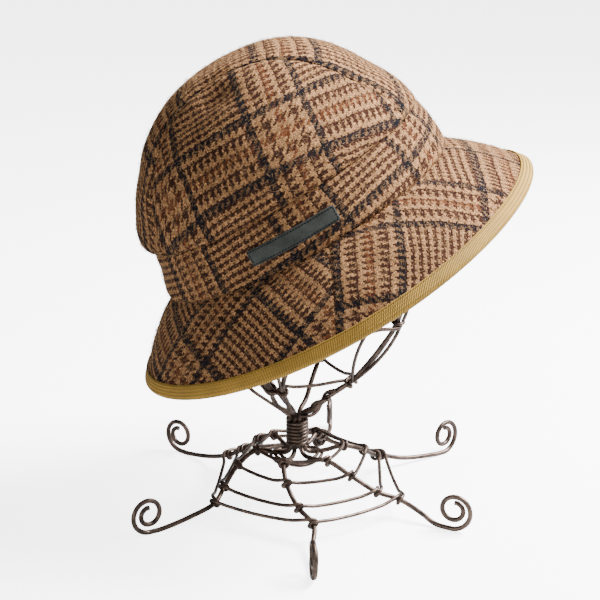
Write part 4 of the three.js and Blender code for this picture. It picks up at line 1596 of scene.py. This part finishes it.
class HAT_OT_patch(bpy.types.Operator):
    """Sews the small dark patch to the right side of the band"""

    bl_idname = "hat.patch"
    bl_label = "Patch"

    def execute(self, context):
        hat = settings().hat
        half_long, half_wide = hat.patch_length / MM / 2, hat.patch_width / MM / 2
        corner, thick, lift, rise, inset = 1.6, 1.1, 0.55, 0.28, 1.1
        u = np.linspace(-1, 1, 90)[None, :]
        v = np.linspace(-1, 1, 22)[:, None]
        x, y = half_long * u + 0 * v, half_wide * v + 0 * u
        over_x = np.maximum(np.abs(x) - (half_long - corner), 0)
        over_y = np.maximum(np.abs(y) - (half_wide - corner), 0)
        far = np.maximum(np.hypot(over_x, over_y) / corner, 1e-9)
        pull = np.where((over_x > 0) & (over_y > 0) & (far > 1), 1 / far, 1.0)
        x = np.sign(x) * (np.abs(x) - over_x * (1 - pull))
        y = np.sign(y) * (np.abs(y) - over_y * (1 - pull))
        # The face rises from a soft edge, and the stitches press a groove into it.
        edge = np.minimum(half_long - np.abs(x), half_wide - np.abs(y))
        dome = rise * (1 - np.exp(-edge / 0.7)) - 0.22 * np.exp(-(((edge - inset) / 0.45) ** 2))
        base, normal = band_outside(x - hat.patch_back / MM, y + hat.patch_height / MM)
        top = base + normal * (lift + thick - rise + dome)[..., None]
        under = base + normal * (lift - 0.3)
        points = np.concatenate([top.reshape(-1, 3), under.reshape(-1, 3)])
        rows, columns = top.shape[:2]
        count = rows * columns
        faces = grid_faces(rows, columns, 0) + grid_faces(rows, columns, count, flip=True)
        ring = list(range(columns)) + [r * columns + columns - 1 for r in range(1, rows)]
        ring += [(rows - 1) * columns + c for c in range(columns - 2, -1, -1)]
        ring += [r * columns for r in range(rows - 2, 0, -1)]
        faces += [(b, a, a + count, b + count) for a, b in zip(ring, ring[1:] + ring[:1])]
        piece = finish_mesh("patch", to_world(points), faces)
        dress(piece, patch_material(), "patch", "side_patch")

        sx, sy = half_long - inset, half_wide - inset
        outline = [(-sx, -sy), (sx, -sy), (sx, sy), (-sx, sy)]
        line = []
        for (ax, ay), (bx, by) in zip(outline, outline[1:] + outline[:1]):
            steps = max(2, round(math.hypot(bx - ax, by - ay)))
            line += [(ax + (bx - ax) * k / steps, ay + (by - ay) * k / steps) for k in range(steps)]
        line = np.array(line)
        base, normal = band_outside(line[:, 0] - hat.patch_back / MM, line[:, 1] + hat.patch_height / MM)
        path = base + normal * (lift + thick - 0.15)
        thread = thread_material("patch_thread", settings().colours.patch_thread)
        source = edge_path("patch_stitches", to_world(path), True, normal @ np.array(HAT_TURN).T)
        sizes = {"pitch": 2.1 * MM, "stitch": 1.6 * MM, "thread": 0.38 * MM}
        dress(run_tree("patch_stitches", source, stitch_tree(), material=thread, **sizes), thread, "patch")
        return {"FINISHED"}


# Stand pieces, in metres round the stand's axis

def stand_origin():
    """The middle of the circle of feet, in metres, from the lowest tie, which is round."""
    low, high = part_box("base_ring_4")
    stand = settings().stand
    lowest = [row for row in LEG_STATIONS if row[3]][-1]
    shift = axis_shift(lowest[0] * stand.foot_radius, stand)
    return Vector(((low.x + high.x) / 2 - shift, (low.y + high.y) / 2, 0.0))


def bundle_radius(stand):
    """Radius of the ring on which the six wires stand in the neck, just clear of each other."""
    return (stand.rib_wire + stand.gap) / (2 * math.sin(math.pi / len(RIBS)))


def axis_shift(radius, stand):
    """How far the axis has moved forwards at a radius: all of the neck's shift there, dying out beyond."""
    return stand.neck_shift * max(0.0, 1 - max(0.0, radius - bundle_radius(stand)) / stand.shift_reach)


def neck_heights(stand):
    """The lowest and the highest point of the neck."""
    base = stand.dome + stand.rib_wire / 2 + stand.gap
    return base, base + stand.neck


def stand_point(radius, bearing, height, stand):
    """A point at a radius and a bearing in degrees from the stand's axis, and at a height."""
    turn = math.radians(bearing)
    return Vector((axis_shift(radius, stand) + radius * math.cos(turn), radius * math.sin(turn), height))


def lerp(a, b, t):
    return a + (b - a) * t


def leg_stations(rib, stand):
    """The stations of a leg from the neck to the floor, as points."""
    _, foot, neck = rib[:3]
    return [
        stand_point(out * stand.foot_radius, lerp(neck, foot, turn), up * stand.dome, stand)
        for out, up, turn, _ in LEG_STATIONS
    ]


def leg_path(rib, stand):
    """A leg from the middle of the neck, down over the dome and out to its spiral foot."""
    reach, foot, neck = rib[:3]
    base, top = neck_heights(stand)
    bundle = bundle_radius(stand)
    floor = stand.rib_wire / 2
    out = stand.foot_radius * reach
    points = [stand_point(bundle, neck, (base + top) / 2, stand), stand_point(bundle, neck, base, stand)]
    points += leg_stations(rib, stand)
    points.append(stand_point(out - stand.spiral, foot, floor * 1.45, stand))
    points += [stand_point(out + k * stand.spiral, foot, floor, stand) for k in (-0.5, -0.25, 0.0)]
    points += spiral_points(out, foot, stand)
    return even_path(np.array(points), 1.6 * MM)


def spiral_points(out, foot, stand):
    """The spiral of a foot, upright in the plane of its leg."""
    points = []
    steps = 44
    for i in range(1, steps + 1):
        share = i / steps
        radius = stand.spiral * (stand.spiral_end / stand.spiral) ** share
        angle = share * stand.spiral_turns * FULL_TURN - math.pi / 2
        height = stand.rib_wire / 2 + stand.spiral + radius * math.sin(angle)
        reach = radius * math.cos(angle)
        aside = math.radians(foot + 90)
        drift = reach * math.sin(stand.spiral_twist) + share * stand.spiral_lean
        point = stand_point(out + reach * math.cos(stand.spiral_twist), foot, height, stand)
        points.append(point + drift * Vector((math.cos(aside), math.sin(aside), 0)))
    return points


def stave_stations(rib, stand):
    """The stations of a stave from the neck to the top, as points."""
    neck, tie, cage = rib[2:]
    _, top = neck_heights(stand)
    tied = [row[2] for row in STAVE_STATIONS].index(1)
    points = []
    for i, (out, up, _) in enumerate(STAVE_STATIONS):
        if i <= tied:
            bearing = lerp(neck, tie, (i + 1) / (tied + 1))
        else:
            bearing = lerp(tie, cage, min(1, (i - tied) / 3))
        points.append(stand_point(out * stand.cage_radius, bearing, top + up * stand.cage_height, stand))
    return points


def stave_path(rib, stand):
    """A stave from the middle of the neck up into the cage."""
    base, top = neck_heights(stand)
    bundle = bundle_radius(stand)
    points = [stand_point(bundle, rib[2], (base + top) / 2, stand), stand_point(bundle, rib[2], top, stand)]
    return even_path(np.array(points + stave_stations(rib, stand)), 2.2 * MM)


def placed(points):
    """Points round the stand's axis, placed in the row frame."""
    return np.asarray(points, float) + np.array(stand_origin())


class STAND_OT_legs(bpy.types.Operator):
    """Bends the six legs with their spiral feet"""

    bl_idname = "hat.legs"
    bl_label = "Legs"

    def execute(self, context):
        stand = settings().stand
        for i, rib in enumerate(RIBS):
            piece = bent_wire(f"leg_{i + 1}", placed(leg_path(rib, stand)), stand.rib_wire / 2)
            dress(piece, wire_material(), "wire", f"stand_leg_{i + 1}")
        return {"FINISHED"}


class STAND_OT_staves(bpy.types.Operator):
    """Bends the six staves of the cage"""

    bl_idname = "hat.staves"
    bl_label = "Staves"

    def execute(self, context):
        stand = settings().stand
        for i, rib in enumerate(RIBS):
            piece = bent_wire(f"stave_{i + 1}", placed(stave_path(rib, stand)), stand.rib_wire / 2)
            dress(piece, wire_material(), "wire", f"cage_stave_{i + 1}")
        return {"FINISHED"}


def tie_path(stations, index, stand, sag):
    """A tie wire round the ribs: a full turn round each rib, and a slack chord to the next."""
    lift = stand.rib_wire / 2 + stand.tie_wire / 2 + 0.05 * MM
    centres = [points[index] for points in stations]
    middle = sum(centres, Vector()) / len(centres)
    order = sorted(range(len(centres)), key=lambda k: math.atan2(*(centres[k] - middle).yx))
    path = []
    steps = 20
    for n, k in enumerate(order):
        here = centres[k]
        along = (stations[k][index + 1] - stations[k][index - 1]).normalized()
        before, after = centres[order[n - 1]], centres[order[(n + 1) % len(order)]]
        across = (after - before).normalized()
        across = (across - along * across.dot(along)).normalized()
        out = along.cross(across)
        outward = here - middle
        if out.dot(Vector((outward.x, outward.y, outward.length))) < 0:
            out = -out
        for i in range(steps + 1):
            share = i / steps
            angle = math.pi / 2 - share * FULL_TURN
            slide = (share - 0.5) * (stand.tie_wire * 1.04)
            path.append(here + (across * math.cos(angle) + out * math.sin(angle)) * lift + along * slide)
        start, gap = path[-1], after - here
        for share in (0.2, 0.35, 0.5, 0.65, 0.8):
            point = start + gap * share
            point.z -= 4 * share * (1 - share) * sag * gap.length
            path.append(point)
    return even_path(np.array(path), 1.3 * MM, closed=True)


class STAND_OT_ties(bpy.types.Operator):
    """Winds the tie wires round the legs and round the staves"""

    bl_idname = "hat.ties"
    bl_label = "Ties"

    def execute(self, context):
        stand = settings().stand
        legs = [leg_stations(rib, stand) for rib in RIBS]
        staves = [stave_stations(rib, stand) for rib in RIBS]
        rows = [(legs, LEG_STATIONS, 3, "base"), (staves, STAVE_STATIONS, 2, "cage")]
        for stations, table, column, label in rows:
            marks = [i for i, row in enumerate(table) if row[column]]
            for n, index in enumerate(marks):
                path = tie_path(stations, index, stand, 0.04)
                thin = stand.tie_wire / 2
                piece = bent_wire(f"{label}_tie_{n + 1}", placed(path), thin, closed=True, sides=10)
                dress(piece, wire_material(), "wire", f"{label}_ring_{n + 1}")
        return {"FINISHED"}


def wound_round(path, start, end, lift, pitch, phase):
    """A wire wound round part of another wire's path. start and end are shares of its length."""
    count = 24
    length = run_lengths(path)
    at = np.linspace(start * length[-1], end * length[-1], count)
    middle = np.stack([np.interp(at, length, path[:, k]) for k in range(3)], axis=1)
    along = np.gradient(middle, axis=0)
    along /= np.linalg.norm(along, axis=1, keepdims=True)
    side = np.cross(along, [0.0, 0.0, 1.0])
    side /= np.linalg.norm(side, axis=1, keepdims=True)
    turn = (at - at[0]) / pitch * FULL_TURN + phase
    return middle + lift * (side * np.cos(turn)[:, None] + np.cross(along, side) * np.sin(turn)[:, None])


# A thin wire that leaves the neck low at the back, by its points.
LOW_BRANCH = (
    # radius in millimetres, bearing in degrees, height above the neck in millimetres
    (4, 200, -3),
    (12, 205, 4),
    (24, 205, 13),
    (38, 206, 24),
    (52, 211, 40),
    (62, 220, 61),
)

# Thin wires that double a stave between its two lowest ties.
DOUBLED_WIRES = (
    # name, stave, bow in millimetres, swing in degrees
    ("doubled_wire_1", 1, 5, 0),
    ("doubled_wire_2", 1, -3, -22),
    ("doubled_wire_3", 5, 4, 14),
    ("doubled_wire_4", 0, 4, -16),
)


class STAND_OT_extras(bpy.types.Operator):
    """Bends the spare loops and twisted strands at the neck, and the doubled wires low in the cage"""

    bl_idname = "hat.extras"
    bl_label = "Spare wires"

    def execute(self, context):
        stand = settings().stand
        thin = stand.tie_wire / 2
        lift = stand.rib_wire / 2 + thin + 0.1 * MM

        loops = []
        for i in range(61):
            share = i / 60
            angle = math.radians(200) + share * 2.1 * FULL_TURN
            radius = lerp(13.5, 19.0, share) * MM + 0.8 * MM * math.sin(3 * angle)
            height = lerp(stand.dome * 0.9, stand.dome * 0.83, share) + 0.9 * MM * math.sin(2 * angle + 1)
            loops.append((stand.neck_shift + radius * math.cos(angle), radius * math.sin(angle), height))
        wires_made = [("neck_loops", even_path(np.array(loops), 1.5 * MM))]

        staves = [stave_path(rib, stand) for rib in RIBS]
        stations = [stave_stations(rib, stand) for rib in RIBS]
        tied = [i for i, row in enumerate(STAVE_STATIONS) if row[2]]
        for name, end, phase in (("twisted_strand_1", 0.155, 0.4), ("twisted_strand_2", 0.13, 2.6)):
            wires_made.append((name, wound_round(staves[1], 0.045, end, lift, 42 * MM, phase)))
        top = neck_heights(stand)[1]
        branch = [stand_point(r * MM, bearing, top + up * MM, stand) for r, bearing, up in LOW_BRANCH]
        wires_made.append(("low_branch", even_path(np.array(branch), 1.8 * MM)))
        for name, rib, bow, swing in DOUBLED_WIRES:
            low, high = stations[rib][tied[0]], stations[rib][tied[1]]
            centre = Vector((axis_shift(high.xy.length, stand), 0, 0))
            turned = Matrix.Rotation(math.radians(swing), 3, "Z")
            high = turned @ (high - centre) + centre
            outward = Vector((low.x - stand.neck_shift, low.y, 0)).normalized()
            start = low + outward * lift + Vector((0, 0, 1.5 * MM))
            path = []
            for share in np.linspace(0, 1, 9):
                point = start.lerp(high + outward * (0 if swing else lift), share)
                path.append(point + outward * bow * MM * 4 * share * (1 - share))
            wires_made.append((name, even_path(np.array(path), 1.8 * MM)))
        for name, path in wires_made:
            piece = bent_wire(name, placed(path), thin, sides=10)
            dress(piece, wire_material(), "wire")
        return {"FINISHED"}


class STAND_OT_coil(bpy.types.Operator):
    """Winds the close coil at the neck"""

    bl_idname = "hat.coil"
    bl_label = "Neck coil"

    def execute(self, context):
        stand = settings().stand
        radius = bundle_radius(stand) + stand.rib_wire / 2 + stand.tie_wire / 2 + stand.gap / 2
        low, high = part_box("neck_coil")
        first, last = low.z + stand.tie_wire / 2, high.z - stand.tie_wire / 2
        turns = stand.coil_turns + 0.6
        steps = 24 * stand.coil_turns
        path = []
        for i in range(steps + 1):
            share = i / steps
            angle = share * turns * FULL_TURN
            x, y = stand.neck_shift + radius * math.cos(angle), radius * math.sin(angle)
            path.append((x, y, lerp(first, last, share)))
        piece = bent_wire("coil", placed(path), stand.tie_wire / 2, sides=10)
        dress(piece, wire_material(), "wire", "neck_coil")
        return {"FINISHED"}


# How bright the world is behind the floor, to the camera alone, and how much it lights the hat.
BACKDROP_GLOW = 5.0
ROOM_LIGHT = 0.12


class HAT_OT_stage(bpy.types.Operator):
    """Sets the floor, the lights and the camera"""

    bl_idname = "hat.stage"
    bl_label = "Stage"

    def execute(self, context):
        scene = bpy.context.scene
        stage = settings().stage
        reach = 12.0
        mesh = bpy.data.meshes.new("floor")
        corners = [(-reach, -reach, 0), (reach, -reach, 0), (reach, reach, 0), (-reach, reach, 0)]
        mesh.from_pydata(corners, [], [(0, 1, 2, 3)])
        floor = bpy.data.objects.new("floor", mesh)
        scene.collection.objects.link(floor)
        material, wires, shader = start_material("floor")
        shader.inputs["Roughness"].default_value = 0.85
        shader.inputs["Emission Color"].default_value = (1.0, 1.0, 1.0, 1.0)
        colours = settings().colours
        seen = wires.node("ShaderNodeLightPath").outputs["Is Camera Ray"]
        tone = wires.mix(seen, rgba(colours.floor_bounce), rgba(colours.floor))
        wires.feed(shader.inputs["Base Color"], tone)
        wires.feed(shader.inputs["Emission Strength"], wires.maths("MULTIPLY", seen, stage.glow))
        mesh.materials.append(material)

        world = bpy.data.worlds.new("studio")
        scene.world = world
        world.use_nodes = True
        sky = world.node_tree.nodes["Background"]
        sky.inputs[0].default_value = (1.0, 1.0, 1.0, 1.0)
        wires = Wiring(world.node_tree)
        seen = wires.node("ShaderNodeLightPath").outputs["Is Camera Ray"]
        wires.feed(sky.inputs[1], wires.maths("MULTIPLY_ADD", seen, BACKDROP_GLOW, ROOM_LIGHT))

        lamps = (
            # name, power, place, size
            ("key", stage.key, (0.95, 0.2, 1.25), 0.8),
            ("fill", stage.fill, (-0.8, -1.2, 0.12), 0.9),
        )
        for name, power, place, size in lamps:
            lamp = bpy.data.lights.new(name, "AREA")
            lamp.energy = power
            lamp.size = size
            light = bpy.data.objects.new(name, lamp)
            scene.collection.objects.link(light)
            light.location = place
            light.rotation_euler = (Vector(stage.target) - Vector(place)).to_track_quat("-Z", "Y").to_euler()

        camera = bpy.data.objects.new("camera", bpy.data.cameras.new("camera"))
        scene.collection.objects.link(camera)
        camera.data.angle = stage.view
        back = Vector((0.0, -math.cos(stage.elevation), math.sin(stage.elevation)))
        camera.location = Vector(stage.target) + back * stage.distance
        camera.rotation_euler = (-back).to_track_quat("-Z", "Y").to_euler()
        scene.camera = camera
        return {"FINISHED"}


class HAT_PT_panel(bpy.types.Panel):
    """Lists the steps that make the hat and its stand"""

    bl_label = "Tweed hat"
    bl_idname = "HAT_PT_panel"
    bl_space_type = "VIEW_3D"
    bl_region_type = "UI"
    bl_category = "Hat"

    def draw(self, context):
        for step in STEPS:
            self.layout.operator(step.bl_idname)


STEPS = (
    HAT_OT_crown,
    HAT_OT_band,
    HAT_OT_brim,
    HAT_OT_fibres,
    HAT_OT_binding,
    HAT_OT_patch,
    STAND_OT_legs,
    STAND_OT_staves,
    STAND_OT_ties,
    STAND_OT_coil,
    STAND_OT_extras,
    HAT_OT_stage,
)
CLASSES = (HatSizes, StandSizes, Colours, StageSizes, HatBuilder, *STEPS, HAT_PT_panel)


def register():
    """Adds the settings, the operators and the panel."""
    for each in CLASSES:
        bpy.utils.register_class(each)
    bpy.types.Scene.hat_builder = PointerProperty(type=HatBuilder)


def unregister():
    """Takes them away again."""
    del bpy.types.Scene.hat_builder
    for each in reversed(CLASSES):
        bpy.utils.unregister_class(each)


def main():
    """Makes every piece in order."""
    register()
    bpy.ops.hat.crown()
    bpy.ops.hat.band()
    bpy.ops.hat.brim()
    bpy.ops.hat.fibres()
    bpy.ops.hat.binding()
    bpy.ops.hat.patch()
    bpy.ops.hat.legs()
    bpy.ops.hat.staves()
    bpy.ops.hat.ties()
    bpy.ops.hat.coil()
    bpy.ops.hat.extras()
    bpy.ops.hat.stage()


if __name__ == "__main__":
    main()
